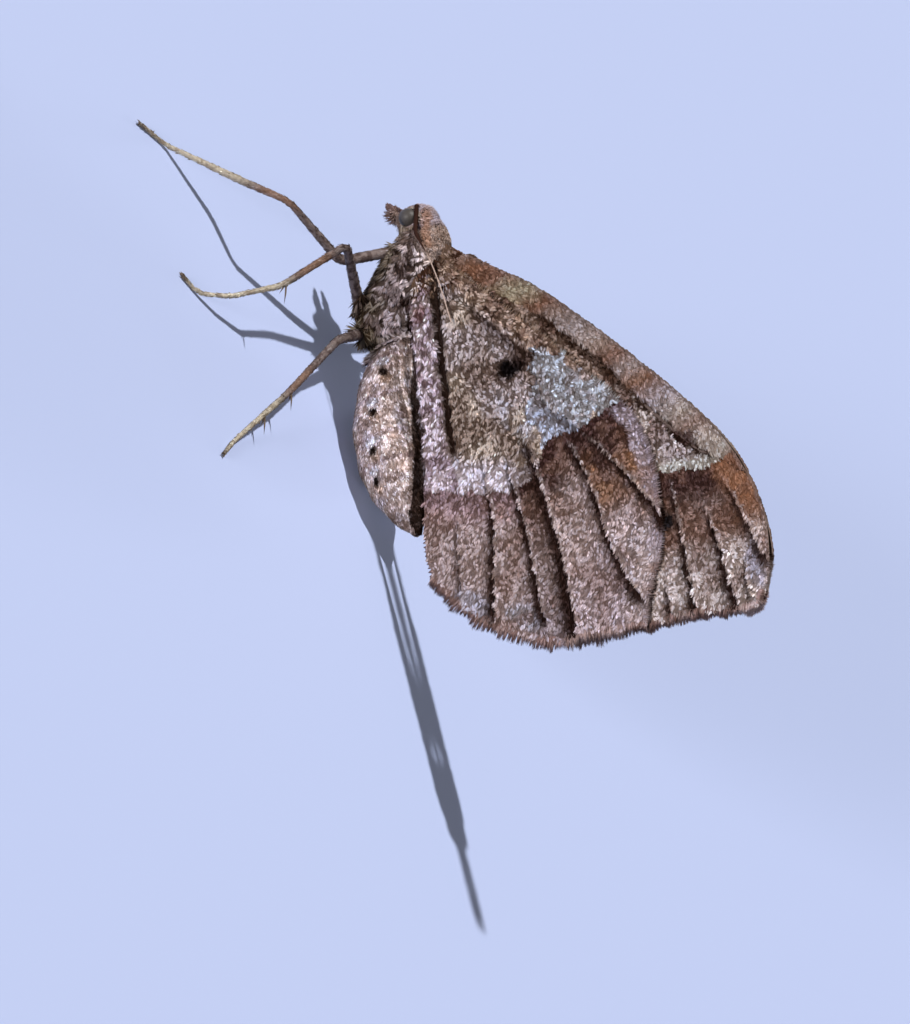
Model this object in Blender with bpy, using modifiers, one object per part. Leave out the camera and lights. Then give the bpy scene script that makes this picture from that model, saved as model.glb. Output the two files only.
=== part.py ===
"""A slender-bodied moth standing still, with its wings closed over its back.

Lengths are in millimetres and points are (side, back, up): side is towards the moth's left, back is
measured towards its tail from a line just ahead of the wing roots, and up is the height above the
floor. place() turns such a point into metres, with the moth facing -Y, its left on +X, and the origin on
the floor under the middle of its bounding box.
"""

import math

import bmesh
import bpy
from mathutils import Matrix, Vector

MM = 0.001
MIDDLE_BACK = 5.70  # where the middle of the bounding box falls, counted towards the tail

# Wings. Each wing is a cambered sheet between its front edge, its outer edge and its inner edge, all
# given as (back, up). The left pair mirrors the right pair across the middle plane.
WING_THICKNESS = 0.50
FOREWING_SIDE = 0.29  # middle of the forewing's thickness, out from the middle plane
HINDWING_SIDE = 0.85
FOREWING_FRONT_EDGE = ((0.75, 4.35), (2.46, 6.32), (5.33, 8.46), (8.06, 10.24), (10.46, 11.40),
                       (12.45, 11.68), (13.90, 11.42))
FOREWING_OUTER_EDGE = ((13.90, 11.42), (14.85, 10.85), (14.45, 9.45), (13.95, 7.70), (13.35, 6.20),
                       (12.60, 4.75), (11.30, 3.80))
FOREWING_INNER_EDGE = ((1.35, 3.95), (4.20, 3.85), (8.00, 3.75), (11.30, 3.80))
HINDWING_FRONT_EDGE = ((1.30, 4.30), (3.06, 5.87), (5.15, 7.32), (6.95, 8.40), (8.95, 8.98),
                       (11.25, 8.86), (12.90, 8.25))
HINDWING_OUTER_EDGE = ((12.90, 8.25), (13.85, 7.30), (13.55, 5.90), (13.15, 4.70), (12.35, 3.50),
                       (11.05, 2.28), (9.75, 1.48))
HINDWING_INNER_EDGE = ((1.75, 3.30), (3.70, 2.82), (6.30, 2.22), (8.15, 1.72), (9.75, 1.48))
OUTER_EDGE_REACH = 1.6  # power by which the outer edge's shape fades towards the root
WING_ROWS = 9
WING_COLUMNS = 26
PLEAT_HEIGHT = 0.02
PLEATS = 6.5
ROOT_FLARE = 0.12  # how much further out the sheets stand beside the thorax
ROOT_FLARE_LENGTH = 2.2
RIGHT_HINDWING_LIFT = math.radians(1.8)  # the right hindwing is held a little higher than the left

# Body. Each section is (back, up, half width, half height).
THORAX_SECTIONS = ((-0.40, 3.46, 0.34, 0.36), (-0.15, 3.42, 0.68, 0.64), (0.16, 3.30, 0.86, 0.86),
                   (0.60, 3.00, 0.95, 1.20), (1.10, 2.64, 0.99, 1.38), (1.60, 2.36, 0.95, 1.26),
                   (2.00, 2.16, 0.78, 0.96), (2.22, 2.08, 0.55, 0.66))
ABDOMEN_SECTIONS = ((2.36, 2.04, 0.56, 0.60), (2.62, 1.86, 0.78, 0.82), (3.25, 1.48, 0.94, 0.94),
                    (4.10, 1.14, 1.02, 1.02), (5.00, 1.01, 1.07, 1.05), (5.70, 0.99, 1.04, 1.03),
                    (6.30, 0.98, 0.90, 0.90), (6.95, 1.00, 0.60, 0.64), (7.45, 1.07, 0.36, 0.38),
                    (7.72, 1.12, 0.17, 0.18))
ABDOMEN_SEGMENTS = 7
SEGMENT_GROOVE = 0.035
GROOVE_SHARPNESS = 12
BODY_SIDES = 18
THORAX_RINGS = 16
ABDOMEN_RINGS = 26
POLE_REACH = 0.5  # how far the body's closing points stand out, as a share of the end section's half width
LINE_STEP = 0.02
HEAD_CENTRE = (0.0, -0.88, 3.47)
HEAD_HALF_SIZES = (0.52, 0.51, 0.53)
EYE_CENTRE = (0.40, -0.74, 3.46)
EYE_RADIUS = 0.29
HEAD_GRID = (20, 14)  # segments and rings
EYE_GRID = (16, 10)
PART_GAP = 0.06  # the thin cut between neighbouring parts

# Feelers and mouth feelers, as (side, back, up) on the left.
ANTENNA_PATH = ((0.26, -0.92, 3.96), (0.50, -0.55, 4.00), (0.80, 0.05, 4.06), (1.20, 0.60, 4.22),
                (1.46, 1.25, 4.36), (1.50, 2.40, 4.46), (1.44, 4.00, 4.42))
ANTENNA_RADIUS = 0.25
ANTENNA_TAPER = 0.2
ANTENNA_STEPS = 16
PALP_PATH = ((0.27, -1.08, 2.96), (0.26, -1.34, 2.88), (0.25, -1.58, 2.83))
PALP_RADIUS = 0.22
PALP_SHARES = (1.0, 1.0, 0.45)  # radius at each point of the path, as a share of PALP_RADIUS

# Legs, as (side, back, up) on the left: hip, joints, and the foot, which lies along the floor.
LEG_RADIUS = 0.25
FOOT_UP = 0.21  # the foot's axis; its round underside is cut flat at the floor
LEG_PATHS = {
    "fore": ((0.50, 0.05, 3.00), (1.69, 0.17, 1.88), (4.00, -0.91, 2.14), (4.55, -1.84, 1.21),
             (6.45, -2.92, FOOT_UP), (7.17, -3.44, FOOT_UP)),
    "mid": ((0.58, 1.06, 1.46), (3.09, 0.61, 3.00), (4.55, 1.58, 1.60), (5.75, 1.78, 0.67),
            (6.55, 1.68, FOOT_UP), (7.07, 1.30, FOOT_UP)),
    "hind": ((0.56, 1.80, 1.30), (2.39, 2.65, 1.61), (4.28, 4.41, 0.83), (6.55, 6.17, FOOT_UP),
             (7.28, 6.78, FOOT_UP)),
}
# Each pair of spurs is (joint it starts from, joint it points to, share of the way between them).
SPUR_PAIRS = {"fore": (), "mid": ((1, 2, 0.93),), "hind": ((1, 2, 0.95), (2, 3, 0.50))}
SPUR_LENGTH = 0.62
SPUR_RADIUS = 0.13
SPUR_TIP = 0.4  # radius of the tip as a share of SPUR_RADIUS
SPUR_SIDES = 6
SPUR_SPREAD = 0.8  # how far the two spurs of a pair stand to either side
SPUR_SPLAY = math.radians(38)
CORNER_ROUNDING = 0.34
FLOOR_CUTTER = ((-12, -12, -2), (12, 12, 0))
SHARP_ANGLE = math.radians(40)

# Colours (linear red, green, blue), roughness.
FINISHES = {
    "wing": ((0.16, 0.10, 0.07), 0.75),
    "body": ((0.20, 0.13, 0.09), 0.80),
    "abdomen": ((0.38, 0.28, 0.22), 0.65),
    "eye": ((0.03, 0.025, 0.02), 0.25),
    "leg": ((0.22, 0.14, 0.08), 0.60),
    "feeler": ((0.30, 0.17, 0.09), 0.60),
}


def place(point):
    side, back, up = point
    return Vector((side, back - MIDDLE_BACK, up)) * MM


def clear_scene():
    for obj in list(bpy.data.objects):
        bpy.data.objects.remove(obj, do_unlink=True)


def new_collection(name):
    collection = bpy.data.collections.new(name)
    bpy.context.scene.collection.children.link(collection)
    return collection


def new_material(name, colour, roughness):
    material = bpy.data.materials.new(name)
    material.use_nodes = True
    shader = material.node_tree.nodes["Principled BSDF"]
    shader.inputs["Base Color"].default_value = (*colour, 1.0)
    shader.inputs["Roughness"].default_value = roughness
    shader.inputs["Metallic"].default_value = 0.0
    return material


def new_object(name, bm, collection, finish=None):
    """An object from a bmesh, with its own material when it is a part and none when it is a cutter."""
    mesh = bpy.data.meshes.new(name)
    bm.to_mesh(mesh)
    bm.free()
    mesh.shade_smooth()
    mesh.set_sharp_from_angle(angle=SHARP_ANGLE)
    obj = bpy.data.objects.new(name, mesh)
    collection.objects.link(obj)
    if finish:
        mesh.materials.append(new_material(name, *FINISHES[finish]))
    else:
        obj.hide_render = True
        obj.display_type = "WIRE"
    return obj


def add_boolean(obj, operation, other):
    modifier = obj.modifiers.new(f"{operation.lower()}_{other.name}", "BOOLEAN")
    modifier.operation = operation
    modifier.object = other


def through(points, share):
    """The point at this share (0 to 1) of a smooth curve through the points."""
    spans = len(points) - 1
    at = min(share * spans, spans - 1e-9)
    i = int(at)
    t = at - i
    p1, p2 = Vector(points[i]), Vector(points[i + 1])
    p0 = Vector(points[i - 1]) if i > 0 else 2 * p1 - p2
    p3 = Vector(points[i + 2]) if i + 2 <= spans else 2 * p2 - p1
    return 0.5 * (2 * p1 + (p2 - p0) * t + (2 * p0 - 5 * p1 + 4 * p2 - p3) * t * t
                  + (3 * p1 - p0 - 3 * p2 + p3) * t ** 3)


def body_loft(sections, rings, groove=0.0, segments=1, swell=0.0):
    """A closed bmesh of elliptical rings that stand square to the line of the sections' centres."""
    bm = bmesh.new()
    loops = []
    for r in range(rings + 1):
        share = r / rings
        back, up, half_width, half_height = through(sections, share)
        ahead = through(sections, min(share + LINE_STEP, 1.0))
        behind = through(sections, max(share - LINE_STEP, 0.0))
        line = Vector((ahead[0] - behind[0], ahead[1] - behind[1])).normalized()
        dip = groove * abs(math.cos(math.pi * segments * share)) ** GROOVE_SHARPNESS
        wide = half_width - dip + swell
        high = half_height - dip + swell
        loop = []
        for k in range(BODY_SIDES):
            angle = 2 * math.pi * k / BODY_SIDES
            lift = high * math.cos(angle)
            point = (wide * math.sin(angle), back - lift * line[1], up + lift * line[0])
            loop.append(bm.verts.new(place(point)))
        loops.append(loop)
    for first, second in zip(loops, loops[1:]):
        for k in range(BODY_SIDES):
            n = (k + 1) % BODY_SIDES
            bm.faces.new((first[k], first[n], second[n], second[k]))
    for loop, share, step in ((loops[0], 0.0, -1), (loops[-1], 1.0, 1)):
        back, up, half_width, _ = through(sections, share)
        other = through(sections, share - LINE_STEP * step)
        line = Vector((back - other[0], up - other[1])).normalized()
        reach = POLE_REACH * half_width + swell
        pole = bm.verts.new(place((0.0, back + reach * line[0], up + reach * line[1])))
        for k in range(BODY_SIDES):
            bm.faces.new((loop[k], loop[(k + 1) % BODY_SIDES], pole))
    bmesh.ops.recalc_face_normals(bm, faces=bm.faces)
    return bm


def ball(centre, half_sizes, grid):
    bm = bmesh.new()
    bmesh.ops.create_uvsphere(bm, u_segments=grid[0], v_segments=grid[1], radius=1.0)
    shape = Matrix.Diagonal(Vector(half_sizes) * MM).to_4x4()
    bmesh.ops.transform(bm, matrix=Matrix.Translation(place(centre)) @ shape, verts=bm.verts)
    return bm


def box(low, high):
    bm = bmesh.new()
    bmesh.ops.create_cube(bm, size=1.0)
    low, high = Vector(low) * MM, Vector(high) * MM
    shape = Matrix.Diagonal(high - low).to_4x4()
    bmesh.ops.transform(bm, matrix=Matrix.Translation((low + high) / 2) @ shape, verts=bm.verts)
    return bm


def smoothed(path):
    """The path with each corner rounded, so that a tube along it bends as a jointed leg does."""
    points = [Vector(path[0])]
    for before, corner, after in zip(path, path[1:], path[2:]):
        before, corner, after = Vector(before), Vector(corner), Vector(after)
        start = corner + (before - corner).normalized() * CORNER_ROUNDING
        end = corner + (after - corner).normalized() * CORNER_ROUNDING
        for t in (0.0, 0.5, 1.0):
            points.append(start * (1 - t) ** 2 + corner * 2 * t * (1 - t) + end * t * t)
    points.append(Vector(path[-1]))
    return points


def tube(points, radius, shares):
    """A closed bmesh along the points. shares holds each point's radius as a share of radius."""
    curve = bpy.data.curves.new("tube", "CURVE")
    curve.dimensions = "3D"
    curve.bevel_depth = radius * MM
    curve.bevel_resolution = 2
    curve.use_fill_caps = True
    spline = curve.splines.new("POLY")
    spline.points.add(len(points) - 1)
    for target, point, share in zip(spline.points, points, shares):
        target.co = (*place(point), 1.0)
        target.radius = share
    guide = bpy.data.objects.new("tube", curve)
    bpy.context.scene.collection.objects.link(guide)
    graph = bpy.context.evaluated_depsgraph_get()
    mesh = bpy.data.meshes.new_from_object(guide.evaluated_get(graph))
    bm = bmesh.new()
    bm.from_mesh(mesh)
    bmesh.ops.remove_doubles(bm, verts=bm.verts, dist=0.001 * MM)
    bmesh.ops.recalc_face_normals(bm, faces=bm.faces)
    bpy.data.objects.remove(guide, do_unlink=True)
    bpy.data.curves.remove(curve)
    bpy.data.meshes.remove(mesh)
    return bm


def mirrored(path, sign):
    return [(sign * side, back, up) for side, back, up in path]


def wing_sheet(front_edge, outer_edge, inner_edge, middle_side, sign, lift=0.0):
    """The wing's middle surface as an open grid from root to outer edge, cambered and lightly pleated.

    lift turns the sheet upwards about the middle of its root, in radians.
    """
    bm = bmesh.new()
    corner_front, corner_inner = Vector(front_edge[-1]), Vector(inner_edge[-1])
    root = Vector(front_edge[0])
    turn = Matrix.Rotation(lift, 2)
    grid = []
    for i in range(WING_ROWS + 1):
        out = i / WING_ROWS
        front, inner = through(front_edge, out), through(inner_edge, out)
        row = []
        for j in range(WING_COLUMNS + 1):
            across = j / WING_COLUMNS
            bow = through(outer_edge, across) - corner_front.lerp(corner_inner, across)
            point = front.lerp(inner, across) + bow * out ** OUTER_EDGE_REACH
            flare = ROOT_FLARE * math.exp(-(((point - root).length / ROOT_FLARE_LENGTH) ** 2))
            pleat = PLEAT_HEIGHT * out * math.cos(2 * math.pi * PLEATS * across)
            side = sign * (middle_side + flare + pleat)
            back, up = root + turn @ (point - root)
            row.append(bm.verts.new(place((side, back, up))))
        grid.append(row)
    for row, after in zip(grid, grid[1:]):
        for j in range(WING_COLUMNS):
            bm.faces.new((row[j], row[j + 1], after[j + 1], after[j]))
    bmesh.ops.recalc_face_normals(bm, faces=bm.faces)
    return bm


def make_wing(name, sheet, parts, cutters):
    wing = new_object(name, sheet, parts, "wing")
    thicken = wing.modifiers.new("thickness", "SOLIDIFY")
    thicken.thickness = WING_THICKNESS * MM
    thicken.offset = 0.0
    for cutter in cutters:
        add_boolean(wing, "DIFFERENCE", cutter)
    return wing


def spur(path, pair, turn, name, cutters):
    """One spur: a thin cone that leaves the leg backwards and down, to one side of it."""
    start, end, share = pair
    a, b = Vector(path[start]), Vector(path[end])
    along = (b - a).normalized()
    below = Vector((0, 0, -1)) + along * along.z
    across = along.cross(below.normalized())
    away = (below.normalized() + across * turn).normalized()
    heading = (along * math.cos(SPUR_SPLAY) + away * math.sin(SPUR_SPLAY)).normalized()
    foot = a.lerp(b, share)
    bm = bmesh.new()
    bmesh.ops.create_cone(bm, cap_ends=True, segments=SPUR_SIDES, radius1=SPUR_RADIUS * MM,
                          radius2=SPUR_TIP * SPUR_RADIUS * MM, depth=SPUR_LENGTH * MM)
    turned = heading.to_track_quat("Z", "Y").to_matrix().to_4x4()
    centre = place(foot + heading * SPUR_LENGTH / 2)
    bmesh.ops.transform(bm, matrix=Matrix.Translation(centre) @ turned, verts=bm.verts)
    return new_object(name, bm, cutters)


def make_leg(pair_name, side_name, sign, parts, helpers, clearance, floor):
    path = mirrored(LEG_PATHS[pair_name], sign)
    points = smoothed(path)
    bm = tube(points, LEG_RADIUS, [1.0] * len(points))
    leg = new_object(f"leg_{pair_name}_{side_name}", bm, parts, "leg")
    for n, pair in enumerate(SPUR_PAIRS[pair_name]):
        for turn in (-SPUR_SPREAD, SPUR_SPREAD):
            name = f"spur_{pair_name}_{side_name}_{n}_{'in' if turn < 0 else 'out'}"
            add_boolean(leg, "UNION", spur(path, pair, turn, name, helpers))
    add_boolean(leg, "DIFFERENCE", clearance)
    add_boolean(leg, "DIFFERENCE", floor)


def make_moth():
    parts = new_collection("moth")
    helpers = new_collection("cutters")
    new_object("thorax", body_loft(THORAX_SECTIONS, THORAX_RINGS), parts, "body")
    clearance = new_object("thorax_clearance", body_loft(THORAX_SECTIONS, THORAX_RINGS, swell=PART_GAP),
                           helpers)
    floor = new_object("floor", box(*FLOOR_CUTTER), helpers)
    abdomen_bm = body_loft(ABDOMEN_SECTIONS, ABDOMEN_RINGS, SEGMENT_GROOVE, ABDOMEN_SEGMENTS)
    abdomen = new_object("abdomen", abdomen_bm, parts, "abdomen")
    add_boolean(abdomen, "DIFFERENCE", clearance)
    add_boolean(abdomen, "DIFFERENCE", floor)
    head = new_object("head", ball(HEAD_CENTRE, HEAD_HALF_SIZES, HEAD_GRID), parts, "body")
    add_boolean(head, "DIFFERENCE", clearance)
    head_clearance = new_object("head_clearance", ball(
        HEAD_CENTRE, [half + PART_GAP for half in HEAD_HALF_SIZES], HEAD_GRID), helpers)
    for side_name, sign in (("left", 1), ("right", -1)):
        centre = (sign * EYE_CENTRE[0], EYE_CENTRE[1], EYE_CENTRE[2])
        new_object(f"eye_{side_name}", ball(centre, [EYE_RADIUS] * 3, EYE_GRID), parts, "eye")
        socket = new_object(f"socket_{side_name}",
                            ball(centre, [EYE_RADIUS + PART_GAP] * 3, EYE_GRID), helpers)
        add_boolean(head, "DIFFERENCE", socket)
        steps = [k / ANTENNA_STEPS for k in range(ANTENNA_STEPS + 1)]
        antenna_points = [through(mirrored(ANTENNA_PATH, sign), step) for step in steps]
        antenna_shares = [1.0 - ANTENNA_TAPER * step for step in steps]
        antenna = new_object(f"antenna_{side_name}", tube(
            antenna_points, ANTENNA_RADIUS, antenna_shares), parts, "feeler")
        palp = new_object(f"palp_{side_name}", tube(
            mirrored(PALP_PATH, sign), PALP_RADIUS, PALP_SHARES), parts, "feeler")
        for cutter in (head_clearance, clearance):
            add_boolean(antenna, "DIFFERENCE", cutter)
        add_boolean(palp, "DIFFERENCE", head_clearance)
        forewing = wing_sheet(FOREWING_FRONT_EDGE, FOREWING_OUTER_EDGE, FOREWING_INNER_EDGE,
                              FOREWING_SIDE, sign)
        make_wing(f"forewing_{side_name}", forewing, parts, [clearance])
        lift = RIGHT_HINDWING_LIFT if sign < 0 else 0.0
        hindwing = wing_sheet(HINDWING_FRONT_EDGE, HINDWING_OUTER_EDGE, HINDWING_INNER_EDGE,
                              HINDWING_SIDE, sign, lift)
        make_wing(f"hindwing_{side_name}", hindwing, parts, [clearance])
        for pair_name in LEG_PATHS:
            make_leg(pair_name, side_name, sign, parts, helpers, clearance, floor)


clear_scene()
make_moth()
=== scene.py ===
"""A geometer moth at rest with its wings closed over its back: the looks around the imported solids.

Points are (side, back, up) in millimetres: side from the middle plane, back from a line just ahead of the
wing roots, and up from the floor. Points on a wing are (back, up). Colours are (red, green, blue) up to 255,
as they are seen.
"""

import math

import bpy
import numpy as np
from mathutils import Matrix, Vector

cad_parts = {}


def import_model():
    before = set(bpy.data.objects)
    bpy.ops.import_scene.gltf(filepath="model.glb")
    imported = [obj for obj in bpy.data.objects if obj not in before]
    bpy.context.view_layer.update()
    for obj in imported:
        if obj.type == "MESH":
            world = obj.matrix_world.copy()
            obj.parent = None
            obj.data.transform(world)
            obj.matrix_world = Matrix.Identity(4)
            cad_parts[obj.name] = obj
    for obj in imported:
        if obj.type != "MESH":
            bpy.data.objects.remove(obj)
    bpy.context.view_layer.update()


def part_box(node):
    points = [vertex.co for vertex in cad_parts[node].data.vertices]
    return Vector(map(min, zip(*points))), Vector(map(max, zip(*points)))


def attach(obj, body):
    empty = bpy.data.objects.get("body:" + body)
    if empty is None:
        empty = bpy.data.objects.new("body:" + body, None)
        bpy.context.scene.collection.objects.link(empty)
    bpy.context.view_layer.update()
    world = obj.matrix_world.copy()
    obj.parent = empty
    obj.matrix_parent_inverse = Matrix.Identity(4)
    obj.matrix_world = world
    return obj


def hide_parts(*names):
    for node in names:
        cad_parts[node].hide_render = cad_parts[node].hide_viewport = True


MM = 0.001
MIDDLE_BACK = 5.70
SIDES = (("left", 1), ("right", -1))

CAMERA_TOWARDS = (0.782, 0.430, 0.4515)
CAMERA_UP = (0.236, -0.876, 0.425)
CAMERA_AIM = (0.0, 7.68, 2.41)
CAMERA_DISTANCE = 600.0
VIEW_HEIGHT = 27.45
SENSOR = 36.0
FLOOR_HALF = 3.0
FLOOR_COLOUR = (0.448, 0.522, 0.780, 1)
SKY_COLOUR = (1.0, 0.97, 0.94, 1)

SHEET_THICKNESS = 0.05
SHEET_ROWS = 120
SHEET_COLUMNS = 160
OUT_BOW = 1.6
OUTLINE_STEPS = 60
SCATTER_CELLS = 300
HINDWING_SCALES = 48000
FOREWING_SCALES = 62000
HINDWING_ROOT_HAIR = (800, 0.09)  # how many, and their reach out along the wing as a share
FOREWING_ROOT_HAIR = (350, 0.045)
BODY_SCALES = 22000
HEAD_HAIRS = 7500
SIDE_SEEDS = (100, 110)
SCALE_LENGTH = (0.10, 0.16)
SCALE_WIDTH = (0.048, 0.072)
CURL = 0.115
SCALLOP = 0.006
SCALLOPS = 8
MAP_SIZE = 16

# The painted shade along the top of the abdomen and rear thorax, where the wings close over it: how far down
# from the top it reaches, in degrees, at each place.
WING_SHADE_PLACES = (1.65, 2.4, 3.25, 4.15, 5.67, 6.94, 7.5)
WING_SHADE_ANGLES = (54, 22, 10, 13, 24, 40, 82)
HEAD_STRIPE = ((0.30, -1.05, 3.95), (0.38, -0.5, 3.90), (0.52, 0.25, 3.92))
SIDE_DOTS = ((3.25, 1.81), (4.28, 1.27), (5.36, 0.99), (6.16, 0.77))
EYE_RISE = 0.05
EYE_SHARE = 0.88
NOISE_CELLS = 32
LINE_STEPS = 6

THORAX_SECTIONS = (
    (-0.40, 3.46, 0.34, 0.36),
    (-0.15, 3.42, 0.68, 0.64),
    (0.16, 3.30, 0.86, 0.86),
    (0.60, 3.00, 0.95, 1.20),
    (1.10, 2.64, 0.99, 1.38),
    (1.60, 2.36, 0.95, 1.26),
    (2.00, 2.16, 0.78, 0.96),
    (2.30, 2.08, 0.55, 0.62),
    (2.60, 1.92, 0.50, 0.52),
)
ABDOMEN_SECTIONS = (
    (2.00, 2.20, 0.40, 0.42),
    (2.34, 2.04, 0.54, 0.58),
    (2.62, 1.86, 0.78, 0.84),
    (3.25, 1.48, 0.94, 0.94),
    (4.10, 1.14, 1.02, 1.02),
    (5.00, 1.01, 1.07, 1.05),
    (5.70, 0.99, 1.04, 1.03),
    (6.30, 0.98, 0.90, 0.90),
    (6.95, 1.00, 0.60, 0.64),
    (7.45, 1.07, 0.36, 0.38),
    (7.72, 1.12, 0.17, 0.18),
)
COAT_DEPTH = 0.07
BODY_RINGS = 90
ABDOMEN_RINGS = 7
RING_GROOVE = 0.035
SKIN_VOXEL = 0.030
SKIN_SIDES = 56

FOOT_UP = 0.06
LEG_PATHS = {
    "fore": (
        (0.50, 0.05, 3.00, 0.15),
        (1.69, 0.17, 1.88, 0.14),
        (4.00, -0.91, 2.14, 0.085),
        (4.55, -1.84, 1.21, 0.105),
        (6.08, -3.10, FOOT_UP, 0.055),
        (7.08, -3.46, FOOT_UP, 0.045),
    ),
    "mid": (
        (0.58, 1.06, 1.46, 0.16),
        (3.09, 0.61, 3.00, 0.11),
        (4.55, 1.58, 1.60, 0.085),
        (5.62, 1.72, 0.60, 0.06),
        (6.33, 1.56, FOOT_UP, 0.052),
        (6.85, 1.18, FOOT_UP, 0.042),
    ),
    "hind": (
        (0.56, 1.80, 1.30, 0.16),
        (2.39, 2.65, 1.61, 0.115),
        (4.28, 4.41, 0.83, 0.09),
        (6.33, 6.05, FOOT_UP, 0.06),
        (7.06, 6.66, FOOT_UP, 0.045),
    ),
}
LEG_ROUNDING = 0.16
LEG_STATIONS = 70
LEG_SCALES = 1500
TUBE_STEP = 0.06
TUBE_SIDES = 14
LEG_SPURS = {"fore": (), "mid": ((1, 0.93),), "hind": ((1, 0.95), (2, 0.45))}
SPUR_LENGTH = 0.66
SPUR_WIDTH = 0.065
CLAW_LENGTH = 0.16
CLAW_WIDTH = 0.05
ANTENNA_PATH = (
    (0.34, -0.98, 3.83),
    (0.46, -0.62, 3.80),
    (0.69, -0.10, 3.80),
    (0.86, 0.38, 3.96),
    (0.92, 1.05, 4.14),
    (0.92, 1.90, 4.24),
    (0.88, 3.00, 4.27),
)
ANTENNA_STEPS = 260
ANTENNA_SIDES = 10
ANTENNA_RADIUS = 0.056
ANTENNA_RINGS = 65
PALP_PATH = ((0.20, -1.02, 3.04, 0.11), (0.20, -1.28, 2.96, 0.09), (0.17, -1.52, 2.86, 0.03))


# Each material: roughness, gloss, bump, and the size of its grain in millimetres.
LOOKS = {
    "wing_scale": (0.45, 0.35, 0.3, 0.05),
    "wing_membrane": (0.6, 0.25, 0.6, 0.07),
    "body_hair": (0.55, 0.3, 0.3, 0.05),
    "skin": (0.6, 0.3, 0.6, 0.06),
    "leg_scale": (0.45, 0.4, 0.4, 0.05),
    "feeler": (0.5, 0.4, 0.3, 0.04),
}


# ---- shared sums ----


def shade(red, green, blue):
    """A colour given as it is seen, turned to linear light."""
    seen = np.array((red, green, blue)) / 255
    return np.where(seen <= 0.04045, seen / 12.92, ((seen + 0.055) / 1.055) ** 2.4)


def ramp(low, high, value):
    """0 below low, 1 above high, smooth between."""
    share = np.clip((value - low) / (high - low), 0, 1)
    return share * share * (3 - 2 * share)


def fall(low, high, value):
    """1 below low, 0 above high, smooth between."""
    return 1 - ramp(low, high, value)


def blend(tint, colour, share):
    """tint with share of another colour over it."""
    return tint + (colour - tint) * share[:, None]


def plain(colour, points):
    """One colour for every point."""
    return np.tile(shade(*colour), (len(points), 1))


def layered(tint, **marks):
    """tint with each mark's share of its colour over it, in the order given."""
    for share, colour in marks.values():
        tint = blend(tint, shade(*colour), share)
    return tint


def through(points, shares):
    """Points on a smooth curve through the given ones, at shares from 0 to 1."""
    points = np.asarray(points, float)
    ends = np.vstack([2 * points[0] - points[1], points, 2 * points[-1] - points[-2]])
    run = np.clip(shares, 0, 1) * (len(points) - 1)
    first = np.minimum(run.astype(int), len(points) - 2)
    part = (run - first)[:, None]
    a, b, c, d = (ends[first + step] for step in range(4))
    return 0.5 * (
        2 * b + (c - a) * part + (2 * a - 5 * b + 4 * c - d) * part**2 + (3 * b - a - 3 * c + d) * part**3
    )


def noise(points, cell, seed):
    """Smooth random values from 0 to 1 that change over about one cell."""
    lattice = np.random.default_rng(seed).random((NOISE_CELLS, NOISE_CELLS, NOISE_CELLS))
    spot = np.zeros((len(points), 3))
    spot[:, : points.shape[1]] = points / cell
    whole = np.floor(spot).astype(int)
    part = spot - whole
    part = part * part * (3 - 2 * part)
    value = np.zeros(len(points))
    for corner in np.ndindex(2, 2, 2):
        weight = np.prod(np.where(corner, part, 1 - part), axis=1)
        at = (whole + corner) % NOISE_CELLS
        value += weight * lattice[at[:, 0], at[:, 1], at[:, 2]]
    return value


def patches(points, cell, seed, low, high):
    """1 in soft patches where the noise is above high, 0 where it is below low."""
    return ramp(low, high, noise(points, cell, seed))


def drift(points, cell, seed):
    """Smooth random moves of the points, from -0.5 to 0.5 in each direction."""
    return np.column_stack([noise(points, cell, seed + step) for step in range(points.shape[1])]) - 0.5


def curls(points, cell, seed):
    """1 along thin curling lines about one cell apart, 0 between them."""
    bend = drift(points, cell * 1.7, seed)
    return fall(0.02, 0.17, np.abs(noise(points + bend * cell * 0.9, cell, seed + 5) - 0.5))


def beside(points, line):
    """Signed distance of each point from a flat line, positive on its left, and its share of the way."""
    line = through(line, np.linspace(0, 1, LINE_STEPS * len(line)))
    step = np.diff(line, axis=0)
    gap = points[:, None] - line[None, :-1]
    along = np.clip((gap * step).sum(-1) / (step**2).sum(-1), 0, 1)
    off = ((gap - along[..., None] * step) ** 2).sum(-1)
    near = off.argmin(1)
    row = np.arange(len(points))
    turn = step[near, 0] * gap[row, near, 1] - step[near, 1] * gap[row, near, 0]
    share = (near + along[row, near]) / len(step)
    return np.sqrt(off[row, near]) * np.where(turn < 0, -1, 1), share


def within(points, outline):
    """Which points lie inside a closed flat outline."""
    start = np.asarray(outline)
    end = np.roll(start, -1, axis=0)
    rises = (start[None, :, 1] > points[:, None, 1]) != (end[None, :, 1] > points[:, None, 1])
    slope = (end[:, 0] - start[:, 0]) / (end[:, 1] - start[:, 1] + 1e-12)
    crossing = start[None, :, 0] + slope[None] * (points[:, None, 1] - start[None, :, 1])
    return (rises & (points[:, None, 0] < crossing)).sum(1) % 2 == 1


def blot(points, centre, radii, angle=0.0):
    """1 in the middle of a soft oval, 0 outside it."""
    gap = points - np.array(centre)
    turn = math.radians(angle)
    along = (gap[:, 0] * math.cos(turn) + gap[:, 1] * math.sin(turn)) / radii[0]
    over = (gap[:, 1] * math.cos(turn) - gap[:, 0] * math.sin(turn)) / radii[1]
    return fall(0.55, 1.15, np.hypot(along, over))


def unit(vectors):
    return vectors / np.maximum(np.linalg.norm(vectors, axis=1, keepdims=True), 1e-9)


def lying(way, normal):
    """The direction made to lie along the surface."""
    return unit(way - normal * (way * normal).sum(1)[:, None])


def turned(along, normal, angle):
    """Directions turned about the normals."""
    over = np.cross(normal, along)
    return along * np.cos(angle)[:, None] + over * np.sin(angle)[:, None]


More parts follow.
